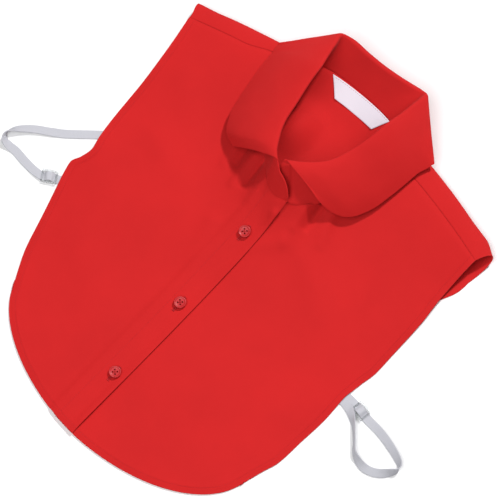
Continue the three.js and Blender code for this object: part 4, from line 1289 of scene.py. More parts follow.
@dataclass
class FrontPanel(ClothPiece):
    """One half of the buttoned front."""

    side: Side = Side.RIGHT
    settle: float = 0.35
    wall: float = 0.95
    plain_share: float = 0.75
    droop: float = 1.25
    droop_width: float = 8
    droop_end: Pair = (0.72, 0.82)
    anchor_radius: float = 11
    facing_width: float = 22.0
    facing_height: float = 0.22
    facing_step: float = 1.6
    facing_dent: float = 0.16
    facing_stitch_inset: float = 0.6
    placket_share: float = 15 / 26
    creases: tuple[Crease, ...] = ()
    anchors: tuple[Pair, ...] = ()
    seam_groove: float = 1.0
    seam_groove_width: float = 2.0
    corner_groove: float = 0.8
    corner_groove_at: Pair = (0.87, 2)
    corner_groove_radius: float = 18
    corner_groove_width: float = 1.3
    calm_fade: float = 6
    calm_at_seam: float = 16
    calm_at_edge: float = 24
    pucker_width: float = 4
    edge_lift: float = 1.55
    edge_lift_width: float = 9
    open_at_chest: float = 0.6
    open_more_below: float = 0.9
    open_more_at_throat: float = 1.9
    open_below: Pair = (-40, -190)
    open_at_throat: Pair = (50, 85)
    open_at_hem: float = 0.2
    open_fade_at_hem: float = 16
    lap_climb: float = 6.0
    lap_clearance: float = 3.0

    def __post_init__(self) -> None:
        """Works out the outline of the half."""
        form, side = self.form, self.side
        self.on_top = side is Side.RIGHT
        self.first_turn = form.stand_first_turn if self.on_top else form.stand_last_turn
        self.neck_turn = 90.0 if self.on_top else 270.0
        self.hem_start = form.hem_place_at(form.half_placket if self.on_top else -form.half_placket)
        self.placket_top = form.neck_seam(self.first_turn, form.lap_at(self.first_turn))
        self.placket_bottom = form.hem_point(self.hem_start)
        self.patch = Patch(self.bottom, self.top, self.inner, self.outer)
        hem = [self.bottom(step / 160) for step in range(161)]
        edge = [self.outer(step / 240) for step in range(241)]
        self.free_edge = Outline(hem + edge[1:])
        self.placket_edge = Outline([self.inner(self.placket_share * step / 60) for step in range(61)])

    def inner(self, share: float) -> Vector:
        """Returns the placket's edge and, above it, the neck seam.

        Args:
            share: The share of the way from the hem to the shoulder seam.

        Returns:
            The plan point.
        """
        if share <= self.placket_share:
            along = share / self.placket_share
            bow = self.form.placket_bow * math.sin(math.pi * along) if self.on_top else 0.0
            return self.placket_bottom.lerp(self.placket_top, along) + Vector((bow, 0, 0))
        past = (share - self.placket_share) / (1 - self.placket_share)
        turn = mix(self.first_turn, self.neck_turn, past)
        return self.form.neck_seam(turn, self.form.lap_at(turn))

    def outer(self, share: float) -> Vector:
        """Returns the side edge, from the hem's corner to the shoulder's tip.

        Args:
            share: The share of the way from the hem's corner.

        Returns:
            The plan point.
        """
        last_up = SIDES[-1][0]
        point = self.form.side_point(self.side, mix(SIDES[0][0], last_up, share))
        top_y = last_up * self.form.body_length - self.form.hem_below_origin
        point.y += (self.form.tip(self.side).y - top_y) * share ** 4
        return point

    def bottom(self, share: float) -> Vector:
        """Returns the hem, from the placket to the side."""
        return self.form.hem_point(mix(self.hem_start, self.side.value, share))

    def top(self, share: float) -> Vector:
        """Returns the shoulder seam."""
        return self.form.shoulder_seam(self.side, share)

    def placket_relief(self, x: float, y: float, edge: float) -> float:
        """Returns how far the placket stands up: its facing, its stitches' dent and its raised edge.

        Args:
            x: The plan point's X.
            y: Its Y.
            edge: Its distance from the free edge.

        Returns:
            The height.
        """
        placket = self.placket_edge.distance(x, y)
        step_end = self.facing_width + self.facing_step
        facing = self.facing_height * (1 - ease(self.facing_width, step_end, placket))
        dent = self.facing_dent * hump(placket, self.facing_width - self.facing_stitch_inset, 0.8)
        at_throat = ease(*self.open_at_throat, y)
        below = self.open_more_below * ease(*self.open_below, y)
        open_share = self.open_at_chest + below + self.open_more_at_throat * at_throat
        open_share *= mix(self.open_at_hem, 1, ease(0, self.open_fade_at_hem, edge))
        reach = self.edge_lift_width + self.edge_lift_width * at_throat
        return facing - dent + self.edge_lift * open_share * (1 - ease(0, reach, placket))

    def height(self, x: float, y: float) -> float:
        """Returns the height of the half's upper surface at a plan point.

        Args:
            x: The plan point's X.
            y: Its Y.

        Returns:
            The height over the table.
        """
        form = self.form
        edge = self.free_edge.distance(x, y)
        top = form.front_height(x, y) + form.front_thickness - self.settle
        if self.on_top:
            climb_end = -form.half_placket - self.lap_clearance
            top += form.lap_step(x, y) * ease(climb_end - self.lap_climb, climb_end, x)
            top += self.placket_relief(x, y, edge)
        radius, _ = form.neck_polar(x, y)
        seam = form.shoulder_seam_y(x) - y
        calm = (1 - math.exp(-self.calm_fade * (radius - 1))) * ease(0, self.calm_at_seam, seam)
        crumple = self.crumple(x, y, 1.0 + self.side.value) * calm * ease(0, self.calm_at_edge, edge)
        top += self.hem_relief(edge) + crumple
        top += self.pucker(x, y) * (1 - ease(self.hem_width, self.hem_width + self.pucker_width, edge))
        top += sum(crease.lift(x, y) for crease in self.creases)
        if self.side is Side.RIGHT:
            out, groove_y = self.corner_groove_at
            away = math.hypot(x + form.half_body * out, y - groove_y)
            near = hump(away, 0, self.corner_groove_radius)
            top -= self.corner_groove * near * hump(edge, self.hem_width - 0.4, self.corner_groove_width)
        lying = 1 - ease(*self.droop_end, (y + form.hem_below_origin) / form.body_length)
        held_up = max((hump(math.hypot(x - ax, y - ay), 0, self.anchor_radius) for ax, ay in self.anchors),
                      default=0)
        top -= self.droop * lying * (1 - held_up) * (1 - ease(0, self.droop_width, edge))
        return top - self.seam_groove * hump(seam, 0, self.seam_groove_width)

    def place(self, across: float, along: float) -> Placed:
        """Returns the point, the cut's coordinates and the hem's weight at two shares.

        Args:
            across: Share across.
            along: Share along.

        Returns:
            The three of them.
        """
        point = self.patch.point(across, along)
        weight = self.hem_weight(self.free_edge.distance(point.x, point.y))
        cut = (point.x, point.y)
        point.z = self.height(point.x, point.y)
        return point, cut, weight

    def build(self) -> Object:
        """Makes the panel.

        Returns:
            The panel's object.
        """
        columns = spread(((0.05, 8), (0.14, 10), (0.93, 62), (1, 15)))
        rows = spread(((0.03, 12), (0.44, 50), (self.placket_share, 34), (0.96, 50), (1, 8)))
        name = f"shirt_front_{self.side.name.lower()}"
        panel = MeshMaker.sheet(name, columns, rows, self.place)
        MeshMaker.wall(panel, self.wall, self.plain_share, -1, 0.22)
        Finishes.COTTON.dress(panel, self.finishes.shirting)
        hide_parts(f"front_{self.side.name.lower()}")
        return panel

    def sew(self) -> Object:
        """Sews the hem and, on the half that lies on top, the facing.

        Returns:
            The stitches' object.
        """
        rows = [self.free_edge.parallel(self.hem_width - self.stitch_inset, self.side is Side.LEFT)]
        if self.on_top:
            inset = self.facing_width - self.facing_stitch_inset
            rows.append(self.placket_edge.parallel(inset, True))
        for row in rows:
            for point in row:
                point.z = self.height(point.x, point.y) + self.stitch_lift
        name = f"front_stitching_{self.side.name.lower()}"
        stitching = MeshMaker.stitches(name, rows)
        Finishes.THREAD.dress(stitching, self.finishes.thread)
        return stitching


@dataclass
class BackPanel(ClothPiece):
    """The back of the bib, which lies on the table and folds over at the shoulders."""

    middle: float = 0.55
    wall: float = 0.8
    plain_share: float = 0.75
    lift_length: float = 45
    low_handle: float = 28
    high_handle: float = 12
    high_handle_drop: float = 1.4
    fold_length: float = 30
    fold_crown: float = 1.2
    shoulder_share: float = 0.3
    tip_share: float = 0.25
    side_blend: float = 0.14
    neck_blend_turn: float = 10
    seam_gap: float = 0.15
    seam_settle: float = 0.7
    tip_flare: float = 5.0
    tip_flare_depth: float = 15.0
    tip_flare_share: float = 0.05
    tip_turn_from: float = 0.9
    side_change: Pair = (0.4, 0.6)
    upper_edge_length: float = 520
    upper_crumple: float = 0.7
    crumple_rise: float = 0.25
    crumple_fall: float = 0.9
    tip_start: float = 0.73
    tip_bend: float = 1.45
    tip_closing: float = 0.85
    tip_turn_down: float = 0.25
    flat_share: float = 0.62
    billow: float = 13
    billow_centre: Pair = (-34, 152)
    billow_reach: Pair = (27, 40)

    def __post_init__(self) -> None:
        """Works out the panel's outline."""
        self.first_line = self.section(0)[0]
        self.last_line = self.section(1)[0]
        self.patch = Patch(self.bottom, self.flat_top, lambda share: self.side_edge(Side.RIGHT, share),
                           lambda share: self.side_edge(Side.LEFT, share))
        hem = [self.bottom(step / 200) for step in range(201)]
        right = [self.side_edge(Side.RIGHT, 1 - step / 200) for step in range(200)]
        left = [self.side_edge(Side.LEFT, step / 200) for step in range(1, 201)]
        self.free_edge = Outline(right + hem + left)

    def top_edge(self, share: float) -> tuple[Vector, float, float, float]:
        """Returns the panel's upper edge.

        Args:
            share: From the right shoulder's tip at 0 to the left one's at 1.

        Returns:
            The point, the fold's Y, the distance from seam to fold, and how far the lower layer
            lies outside the seam's end.
        """
        form = self.form
        to_side = mix(form.seam_to_fold_right, form.seam_to_fold_left, ease(*self.side_change, share))
        towards_tip = max(1 - min(share, 1 - share) / self.shoulder_share, 0)
        to_fold = to_side * mix(form.seam_to_fold_at_neck, 1, towards_tip)
        if share < self.shoulder_share or share > 1 - self.shoulder_share:
            side = Side.RIGHT if share < self.shoulder_share else Side.LEFT
            plan = form.shoulder_seam(side, towards_tip)
            inset = form.back_inset * SIDES[-1][3 if side is Side.RIGHT else 4]
            past = -inset * ease(1 - self.tip_share, 1, towards_tip)
            if side is Side.LEFT:
                to_fold *= 1 - self.tip_turn_down * ease(self.tip_turn_from, 1, towards_tip)
            plan.z = form.front_height(plan.x, plan.y) + form.front_thickness / 2 - self.seam_settle
            plan.y += self.seam_gap
            left_over = to_fold - form.hook_at(side, towards_tip)
            return plan, plan.y + left_over, left_over, side.value * past
        turn = mix(90, 270, (share - self.shoulder_share) / (1 - 2 * self.shoulder_share))
        folded = min(turn, 360 - turn)
        point = form.neck_seam_point(turn)
        point.y += self.seam_gap * (1 - ease(90, 90 + self.neck_blend_turn, folded))
        return point, max(point.y, form.neck_y + self.seam_gap + to_fold), to_fold, 0.0

    def section(self, share: float) -> list[Vector]:
        """Returns four control points of the panel's upper part at a place along its upper edge.

        Args:
            share: The share of the way along the upper edge.

        Returns:
            The points, from the table to the edge.
        """
        point, fold_y, to_fold, past = self.top_edge(share)
        wrap = (fold_y - point.y) / to_fold
        flat_y = mix(point.y - self.lift_length, fold_y - self.fold_length, wrap)
        reach_y = fold_y + ((fold_y - flat_y) + (fold_y - point.y)) / 6
        first = Vector((point.x + self.tip_start * past, flat_y, self.middle))
        low_y = mix(point.y - self.low_handle, reach_y, wrap)
        high_y = mix(point.y - self.high_handle, reach_y, wrap)
        high_z = point.z + mix(-self.high_handle_drop, self.fold_crown, wrap)
        second = Vector((point.x + self.tip_bend * past, low_y, self.middle))
        third = Vector((point.x + self.tip_closing * past, high_y, high_z))
        return [first, second, third, point]

    def flat_top(self, share: float) -> Vector:
        """Returns the line where the panel leaves the table."""
        start = self.section(share)[0]
        return Vector((start.x, start.y, 0))

    def side_edge(self, side: Side, share: float) -> Vector:
        """Returns a side edge of the lying part.

        Args:
            side: The wearer's side.
            share: The share of the way up.

        Returns:
            The plan point.
        """
        line = self.first_line if side is Side.RIGHT else self.last_line
        last_up = (line.y + self.form.hem_below_origin) / self.form.body_length
        point = self.form.side_point(side, mix(SIDES[0][0], last_up, share), 1)
        point.x = mix(point.x, line.x, ease(1 - self.side_blend, 1, share))
        return point

    def bottom(self, share: float) -> Vector:
        """Returns the back hem."""
        return self.form.hem_point(mix(-1, 1, share), 1)

    def billow_at(self, point: Vector) -> float:
        """Returns how far the cloth stands up inside the neck, at a plan point.

        Args:
            point: The plan point.

        Returns:
            The height.
        """
        across = (point.x - self.billow_centre[0]) / self.billow_reach[0]
        along = (point.y - self.billow_centre[1]) / self.billow_reach[1]
        return self.billow * (1 - ease(0, 1, math.hypot(across, along)))

    def place(self, across: float, along: float) -> Placed:
        """Returns the point, the cut's coordinates and the hem's weight at two shares.

        Args:
            across: Share across.
            along: Share along.

        Returns:
            The three of them.
        """
        if along < self.flat_share:
            point = self.patch.point(across, along / self.flat_share)
            cut = (point.x, point.y)
            weight = self.hem_weight(self.free_edge.distance(point.x, point.y))
            point.z = self.middle + self.billow_at(point)
            return point, cut, weight
        points = self.section(across)
        share = (along - self.flat_share) / (1 - self.flat_share)
        point = bezier(points, share)
        length = sum((b - a).length for a, b in zip(points, points[1:]))
        weight = self.hem_weight(min(across, 1 - across) * self.upper_edge_length)
        fold_y = self.top_edge(across)[1]
        flare = ease(fold_y - self.tip_flare_depth, fold_y, point.y)
        flare *= ease(self.tip_flare_share, 0, across)
        point.x -= self.tip_flare * flare
        inside = ease(0, self.crumple_rise, share) * (1 - ease(self.crumple_fall, 1, share))
        ripple = self.crumple(point.x, point.y, 5.0) * inside
        point.z += self.upper_crumple * ripple + self.billow_at(point) * (1 - share) ** 2
        return point, (point.x, points[0].y + share * length), weight

    def build(self) -> Object:
        """Makes the panel.

        Returns:
            The panel's object.
        """
        columns = spread(((0.02, 10), (0.3, 40), (0.7, 70), (0.98, 40), (1, 10)))
        rows = spread(((0.02, 8), (self.flat_share, 44), (1, 44)))
        panel = MeshMaker.sheet("shirt_back", columns, rows, self.place)
        MeshMaker.wall(panel, self.wall, self.plain_share, 0, 0.2)
        Finishes.COTTON.dress(panel, self.finishes.shirting)
        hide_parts("back_panel")
        return panel

    def sew(self) -> Object:
        """Sews the back hem, on the outside and inside of the panel.

        Returns:
            The stitches' object.
        """
        rows = []
        half = self.wall / 2
        for height in (self.middle - half - 0.05, self.middle + half * 0.9):
            row = self.free_edge.parallel(self.hem_width - self.stitch_inset, True)
            for point in row:
                point.z = height
            rows.append(row)
        stitching = MeshMaker.stitches("back_stitching", rows)
        Finishes.THREAD.dress(stitching, self.finishes.thread)
        return stitching


@dataclass
class Collar(ClothPiece):
    """The stand round the neck and the rounded leaf that turns down from it."""

    stand_height: float = 34
    leaf_width: float = 62
    leaf_lift: float = 8
    leaf_bulge: float = 6
    roll_leg: float = 4.5
    end_dip: float = 0.16
    end_dip_length: float = 0.3
    end_rounding: float = 0.98
    stand_wall: float = 1.3
    leaf_wall: float = 1.35
    stand_foot: float = 0.3
    end_lift: float = 4.5
    end_lift_from: float = 9
    end_lift_at_foot: float = 0.6
    under_end_sink: float = 3.2
    under_end_span: Pair = (345, 349.5)
    under_end_rise: float = 0.25
    roll_overlap: float = 0.9
    roll_share: float = 0.12
    stand_least: float = 4
    stand_wave: float = 0.35
    stand_wave_size: Pair = (14, 16)
    stand_wave_rise: float = 0.4
    stand_per_degree: float = 1.05
    leaf_per_degree: float = 1.35
    leaf_cut_width: float = 60
    leaf_thickness: float = 1.6
    leaf_wave: float = 0.5
    leaf_wave_size: float = 17
    leaf_wave_rise: float = 0.3
    fall_handles: Pair = (0.33, 0.7)
    low_bulge: float = 0.8
    tuck_behind: float = 5
    tuck_low: float = 0.25
    tuck_way: Pair = (0.4, 0.3)
    first_turn: float = STAND_LEAN[0][0]
    last_turn: float = STAND_LEAN[-1][0]

    def lean(self, turn: float) -> Vector:
        """Returns the way from the neck seam to the fold."""
        at = clamp(turn, self.first_turn, self.last_turn)
        return Vector([read_table(STAND_LEAN, column, at) for column in (1, 2, 3)]) * self.stand_height

    def stand_reach(self, turn: float) -> float:
        """Returns the share of the stand's height at a place, rounded off at its ends.

        Args:
            turn: Degrees round the neck.

        Returns:
            The share.
        """
        form = self.form
        beyond = 0.0
        if turn < self.first_turn:
            beyond = (self.first_turn - turn) / (self.first_turn - form.stand_first_turn)
        elif turn > self.last_turn:
            beyond = (turn - self.last_turn) / (form.stand_last_turn - self.last_turn)
        dip = 1 - self.end_dip * ease(0, self.end_dip_length, beyond)
        return dip * math.sqrt(1 - self.end_rounding * beyond ** 2)

    def seam(self, turn: float) -> Vector:
        """Returns the neck seam's point, with the lap of the upper half."""
        return self.form.neck_seam_point(turn, self.form.lap_at(turn))

    def stand_place(self, across: float, along: float) -> Placed:
        """Returns a point of the stand, the cut's coordinates and the weight of its edge.

        Args:
            across: Share across.
            along: Share along.

        Returns:
            The three of them.
        """
        turn = mix(self.form.stand_first_turn, self.form.stand_last_turn, across)
        lean = self.lean(turn)
        full = (lean.length - self.roll_leg + self.roll_overlap) * self.stand_reach(turn)
        risen = mix(self.stand_foot, max(full, self.stand_least), along)
        point = self.seam(turn) + lean.normalized() * risen
        wave_along, wave_up = self.stand_wave_size
        wave = self.stand_wave * noise.noise(Vector((turn / wave_along, risen / wave_up, 4.0)))
        wave *= ease(0, self.stand_wave_rise, along) * (1 - along)
        lift = self.end_lift * ease(self.end_lift_from, self.form.stand_first_turn, turn)
        lift *= mix(self.end_lift_at_foot, 1, along)
        sink = self.under_end_sink * ease(*self.under_end_span, turn) * ease(0, self.under_end_rise, along)
        return point + Vector((0, 0, wave + lift - sink)), (turn * self.stand_per_degree, risen), 1.0

    def leaf_points(self, turn: float) -> tuple[list[Vector], list[Vector]]:
        """Returns the control points of the roll and of the fall at a place round the neck.

        Args:
            turn: Degrees round the neck.

        Returns:
            The roll's three points and the fall's four.
        """
        form = self.form
        value = {key: read_table(LEAF_FALL, column, turn)
                 for key, column in (("x", 1), ("y", 2), ("lift", 3), ("tuck", 4), ("bulge", 5))}
        lean = self.lean(turn)
        fold = self.seam(turn) + lean
        start = fold - lean.normalized() * self.roll_leg
        tuck = clamp(value["tuck"])
        width = self.leaf_width
        edge = Vector((fold.x + width * value["x"], fold.y + width * value["y"], 0))
        on_chest = (form.front_height(edge.x, edge.y) + form.front_thickness + form.layer_gap
                    + self.leaf_thickness / 2 + self.leaf_lift * value["lift"])
        edge.z = mix(on_chest, self.leaf_thickness / 2, tuck)
        rise = Vector((0, 0, self.leaf_bulge * max(value["bulge"], 0)))
        span = edge - fold
        way_x, way_y = self.tuck_way
        under_first = Vector((fold.x, fold.y + self.tuck_behind, self.tuck_low * fold.z))
        under_second = Vector((mix(fold.x, edge.x, way_x), mix(fold.y, edge.y, way_y), edge.z))
        near, far = self.fall_handles
        first = (fold + span * near + rise).lerp(under_first, tuck)
        second = (fold + span * far + rise * self.low_bulge).lerp(under_second, tuck)
        away = fold + (first - fold).normalized() * self.roll_leg
        return [start, fold, away], [away, first, second, edge]

    def leaf_place(self, across: float, along: float) -> Placed:
        """Returns a point of the leaf, the cut's coordinates and the weight of its edge.

        Args:
            across: Share across.
            along: Share along.

        Returns:
            The three of them.
        """
        turn = mix(self.first_turn, self.last_turn, across)
        roll, fall = self.leaf_points(turn)
        cut = (turn * self.leaf_per_degree, along * self.leaf_cut_width)
        if along < self.roll_share:
            return bezier(roll, along / self.roll_share), cut, 1.0
        share = (along - self.roll_share) / (1 - self.roll_share)
        wave = self.leaf_wave * noise.noise(Vector((turn / self.leaf_wave_size, share * 3, 9.0)))
        wave *= ease(0, self.leaf_wave_rise, share)
        return bezier(fall, share) + Vector((0, 0, wave)), cut, 1.0

    def build(self) -> list[Object]:
        """Makes the stand and the leaf.

        Returns:
            Both objects.
        """
        stand = MeshMaker.sheet("neck_stand", spread(((0.05, 16), (0.95, 170), (1, 12))),
                                spread(((1, 18),)), self.stand_place)
        leaf = MeshMaker.sheet("turned_collar", spread(((0.03, 10), (0.97, 200), (1, 10))),
                               spread(((self.roll_share, 8), (0.92, 36), (1, 8))), self.leaf_place)
        parts = ((stand, self.stand_wall, "collar_stand"), (leaf, self.leaf_wall, "collar_leaf"))
        for piece, wall, node in parts:
            MeshMaker.wall(piece, wall, 1, 0, 0.4)
            Finishes.COTTON.dress(piece, self.finishes.shirting)
            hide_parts(node)
        return [stand, leaf]


@dataclass
class NeckLabel(ClothPiece):
    """Blank satin label sewn inside the back neck."""

    back: BackPanel | None = None
    top_width: float = 68
    bottom_width: float = 44
    height_down: float = 17
    centre_x: float = -8
    bottom_shift: float = 3.5
    tilt: float = 0.9
    below_seam: float = 1.2
    wall_thickness: float = 0.4
    lift: float = 0.75
    corner_curl: float = 0.8
    corner_curl_from: float = 0.75
    wave: float = 0.35
    wave_angle: float = 9
    darker_rim_span: Pair = (0.4, 1.2)
    seam_row: float = 0.08
    seam_row_lift: float = 0.28

    def place(self, across: float, along: float) -> Placed:
        """Returns a point of the label, the cut's coordinates and the weight of its edge.

        Args:
            across: Share across.
            along: Share along.

        Returns:
            The three of them.
        """
        back = self.back
        width = mix(self.top_width, self.bottom_width, along)
        x = self.centre_x + self.bottom_shift * along + width * (across - 0.5)
        first, last = back.shoulder_share, 1 - back.shoulder_share
        section = back.section(find_place(first, last, x, lambda share: back.top_edge(share)[0].x))
        y = section[3].y - self.below_seam - self.height_down * along + self.tilt * (2 * across - 1)
        down = find_place(0, 1, y, lambda share: bezier(section, share).y)
        curl = self.corner_curl * ease(self.corner_curl_from, 1, abs(2 * across - 1)) * along
        curl += self.wave * along * math.sin(across * self.wave_angle)
        rim = min(across * width, (1 - across) * width, (1 - along) * self.height_down, 4)
        # Weight for the colour that darkens the label towards its rim.
        edge = 1 - ease(*self.darker_rim_span, rim)
        return Vector((x, y, bezier(section, down).z + self.lift + curl)), (x, y), edge

    def build(self) -> list[Object]:
        """Makes the label and its stitches.

        Returns:
            Both objects.
        """
        label = MeshMaker.sheet("blank_label", spread(((0.04, 5), (0.96, 40), (1, 5))),
                                spread(((0.1, 3), (0.9, 14), (1, 5))), self.place)
        # The rim weight becomes the colour mask that darkens the label towards its rim.
        shade = label.data.color_attributes.new("edge", "FLOAT_COLOR", "POINT")
        for index, vert in enumerate(label.data.vertices):
            weight = vert.groups[0].weight if vert.groups else 0.0
            shade.data[index].color = (weight, weight, weight, 1)
        MeshMaker.wall(label, self.wall_thickness, 1, 0, 0.1)
        Finishes.SATIN.dress(label, self.finishes.satin)
        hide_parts("neck_label")
        lift = Vector((0, 0, self.seam_row_lift))
        row = [self.place(step / 60, self.seam_row)[0] + lift for step in range(2, 59)]
        stitching = MeshMaker.stitches("label_stitching", [row], pitch=2.4, length=1.7, width=0.3)
        Finishes.THREAD.dress(stitching, self.finishes.thread)
        return [label, stitching]


@dataclass
class ShirtButton:
    """Four-hole button with a raised rim, sewn with crossed thread over its buttonhole."""

    form: BibForm
    finishes: Finishes
    number: int
    x: float
    y: float
    diameter: float = 11.5
    thickness: float = 2.6
    rim: float = 1.5
    dish: float = 0.7
    hole_diameter: float = 1.6
    hole_spacing: float = 3.0
    seat: float = 0.45
    buttonhole_above: float = 6.5
    buttonhole_below: float = 9.0
    bar_spacing: float = 0.75
    bar_size: tuple[float, float, float] = (0.62, 0.22, 0.26)
    tack_size: tuple[float, float, float] = (0.26, 0.75, 0.3)
    tack_reach: float = 1.3
    thread_radius: float = 0.2
    thread_shift: float = 0.2
    thread_rise: float = 0.12
    thread_crossing: float = 0.18
    thread_depth: float = 0.2

    def __post_init__(self) -> None:
        """Works out the button's own frame."""
        form = self.form
        normal = form.front_normal(self.x, self.y)
        base = form.front_height(self.x, self.y) + form.lap_step(self.x, self.y) + form.front_thickness
        origin = Vector((self.x, self.y, base)) + normal * self.seat
        turn = Vector((0, 0, 1)).rotation_difference(normal).to_matrix().to_4x4()
        self.frame = Matrix.Translation(origin) @ turn

    def profile(self) -> list[Pair]:
        """Returns the button's section from its axis below to its axis above.

        Returns:
            Pairs of a radius and a height.
        """
        radius, high = self.diameter / 2, self.thickness
        floor = high - self.dish
        return [
            (0, 0), (0.6 * radius, 0.02), (0.72 * radius, 0.06), (0.9 * radius, 0.22 * high),
            (0.985 * radius, 0.38 * high), (radius, 0.52 * high), (0.99 * radius, 0.72 * high),
            (0.95 * radius, 0.9 * high), (0.9 * radius, 0.98 * high), (radius - 0.5 * self.rim, high),
            (radius - 0.75 * self.rim, 0.97 * high), (radius - 0.95 * self.rim, mix(floor, high, 0.5)),
            (radius - 1.25 * self.rim, floor + 0.06), (radius - 1.6 * self.rim, floor),
            (0.3 * radius, floor - 0.05), (0, floor - 0.06),
        ]

    def turned(self) -> bmesh.types.BMesh:
        """Returns the button's body before its holes are drilled.

        Returns:
            The mesh, in millimetres.
        """
        bm = bmesh.new()
        corners = [bm.verts.new((out, 0, high)) for out, high in self.profile()]
        edges = [bm.edges.new(pair) for pair in zip(corners, corners[1:])]
        bmesh.ops.spin(bm, geom=corners + edges, cent=(0, 0, 0), axis=(0, 0, 1), dvec=(0, 0, 0),
                       angle=math.tau, steps=48, use_merge=True, use_duplicate=False)
        bmesh.ops.remove_doubles(bm, verts=bm.verts, dist=0.001)
        bmesh.ops.recalc_face_normals(bm, faces=bm.faces)
        return bm

    def build(self) -> list[Object]:
        """Makes the button, its thread and its buttonhole.

        Returns:
            The objects.
        """
        button = MeshMaker.finish(f"shirt_button_{self.number}", self.turned())
        drills = bmesh.new()
        for side_x in (-0.5, 0.5):
            for side_y in (-0.5, 0.5):
                place = Matrix.Translation((side_x * self.hole_spacing, side_y * self.hole_spacing, 0))
                radius = self.hole_diameter / 2
                bmesh.ops.create_cone(drills, cap_ends=True, segments=20, radius1=radius,
                                      radius2=radius, depth=4 * self.thickness, matrix=place)
        drill = MeshMaker.finish("drill", drills, smooth=False)
        cut = button.modifiers.new("holes", "BOOLEAN")
        cut.object, cut.operation, cut.solver = drill, "DIFFERENCE", "EXACT"
        drilled = bpy.data.meshes.new_from_object(
            button.evaluated_get(bpy.context.evaluated_depsgraph_get()))
        button.modifiers.clear()
        button.data = drilled
        bpy.data.objects.remove(drill)
        drilled.transform(Matrix.Scale(MM, 4) @ self.frame @ Matrix.Scale(1 / MM, 4))
        for face in drilled.polygons:
            face.use_smooth = True
        edge = button.modifiers.new("edge", "BEVEL")
        edge.width, edge.segments = 0.14 * MM, 2
        edge.limit_method, edge.angle_limit = "ANGLE", math.radians(50)
        Finishes.RESIN.dress(button, self.finishes.resin)
        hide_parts(f"button_{self.number}")
        return [button, self.thread(), self.buttonhole()]

    def thread(self) -> Object:
        """Makes the crossed thread through the holes and the shank below them.

        Returns:
            The thread's object.
        """
        bm = bmesh.new()
        half = self.hole_spacing / 2
        top = self.thickness - self.dish + self.thread_rise
        radius = self.thread_radius
        for side in (-1, 1):
            for shift in (-self.thread_shift, self.thread_shift):
                direction = Vector((1, side, 0)).normalized()
                aside = Vector((-direction.y, direction.x, 0)) * shift
                middle = Vector((0, 0, top + self.thread_crossing * (side > 0))) + aside
                points = [middle + direction * half * 1.41 * step for step in (-1.1, -0.55, 0, 0.55, 1.1)]
                points[0].z = points[-1].z = -self.thread_depth
                for start, end in zip(points, points[1:]):
                    span = end - start
                    turn = span.to_track_quat("Z", "Y").to_matrix().to_4x4()
                    place = self.frame @ Matrix.Translation((start + end) / 2) @ turn
                    bmesh.ops.create_cone(bm, cap_ends=True, segments=8, radius1=radius, radius2=radius,
                                          depth=span.length + radius / 2, matrix=place)
        shank = self.frame @ Matrix.Translation((0, 0, -0.35))
        bmesh.ops.create_cone(bm, cap_ends=True, segments=12, radius1=1.7, radius2=1.5, depth=1.0,
                              matrix=shank)
        piece = MeshMaker.finish(f"button_thread_{self.number}", bm)
        Finishes.THREAD.dress(piece, self.finishes.thread)
        return piece

    def buttonhole(self) -> Object:
        """Makes the buttonhole's close bars of thread round its slit.

        Returns:
            The bars' object.
        """
        low, high = -self.buttonhole_below, self.buttonhole_above
        steps, tacks = 40, 6
        stitches = [(side * self.bar_spacing, mix(low, high, step / steps), 0.05, self.bar_size)
                    for side in (-1, 1) for step in range(steps + 1)]
        stitches += [(mix(-self.tack_reach, self.tack_reach, step / tacks), y, 0.08, self.tack_size)
                     for y in (low - 0.3, high + 0.3) for step in range(tacks + 1)]
        bm = bmesh.new()
        for x, y, lift, size in stitches:
            place = self.frame @ Matrix.Translation((x, y, -self.seat + lift)) @ Matrix.Diagonal((*size, 1))
            bmesh.ops.create_icosphere(bm, subdivisions=1, radius=1, matrix=place)
        piece = MeshMaker.finish(f"buttonhole_{self.number}", bm)
        Finishes.THREAD.dress(piece, self.finishes.thread)
        return piece


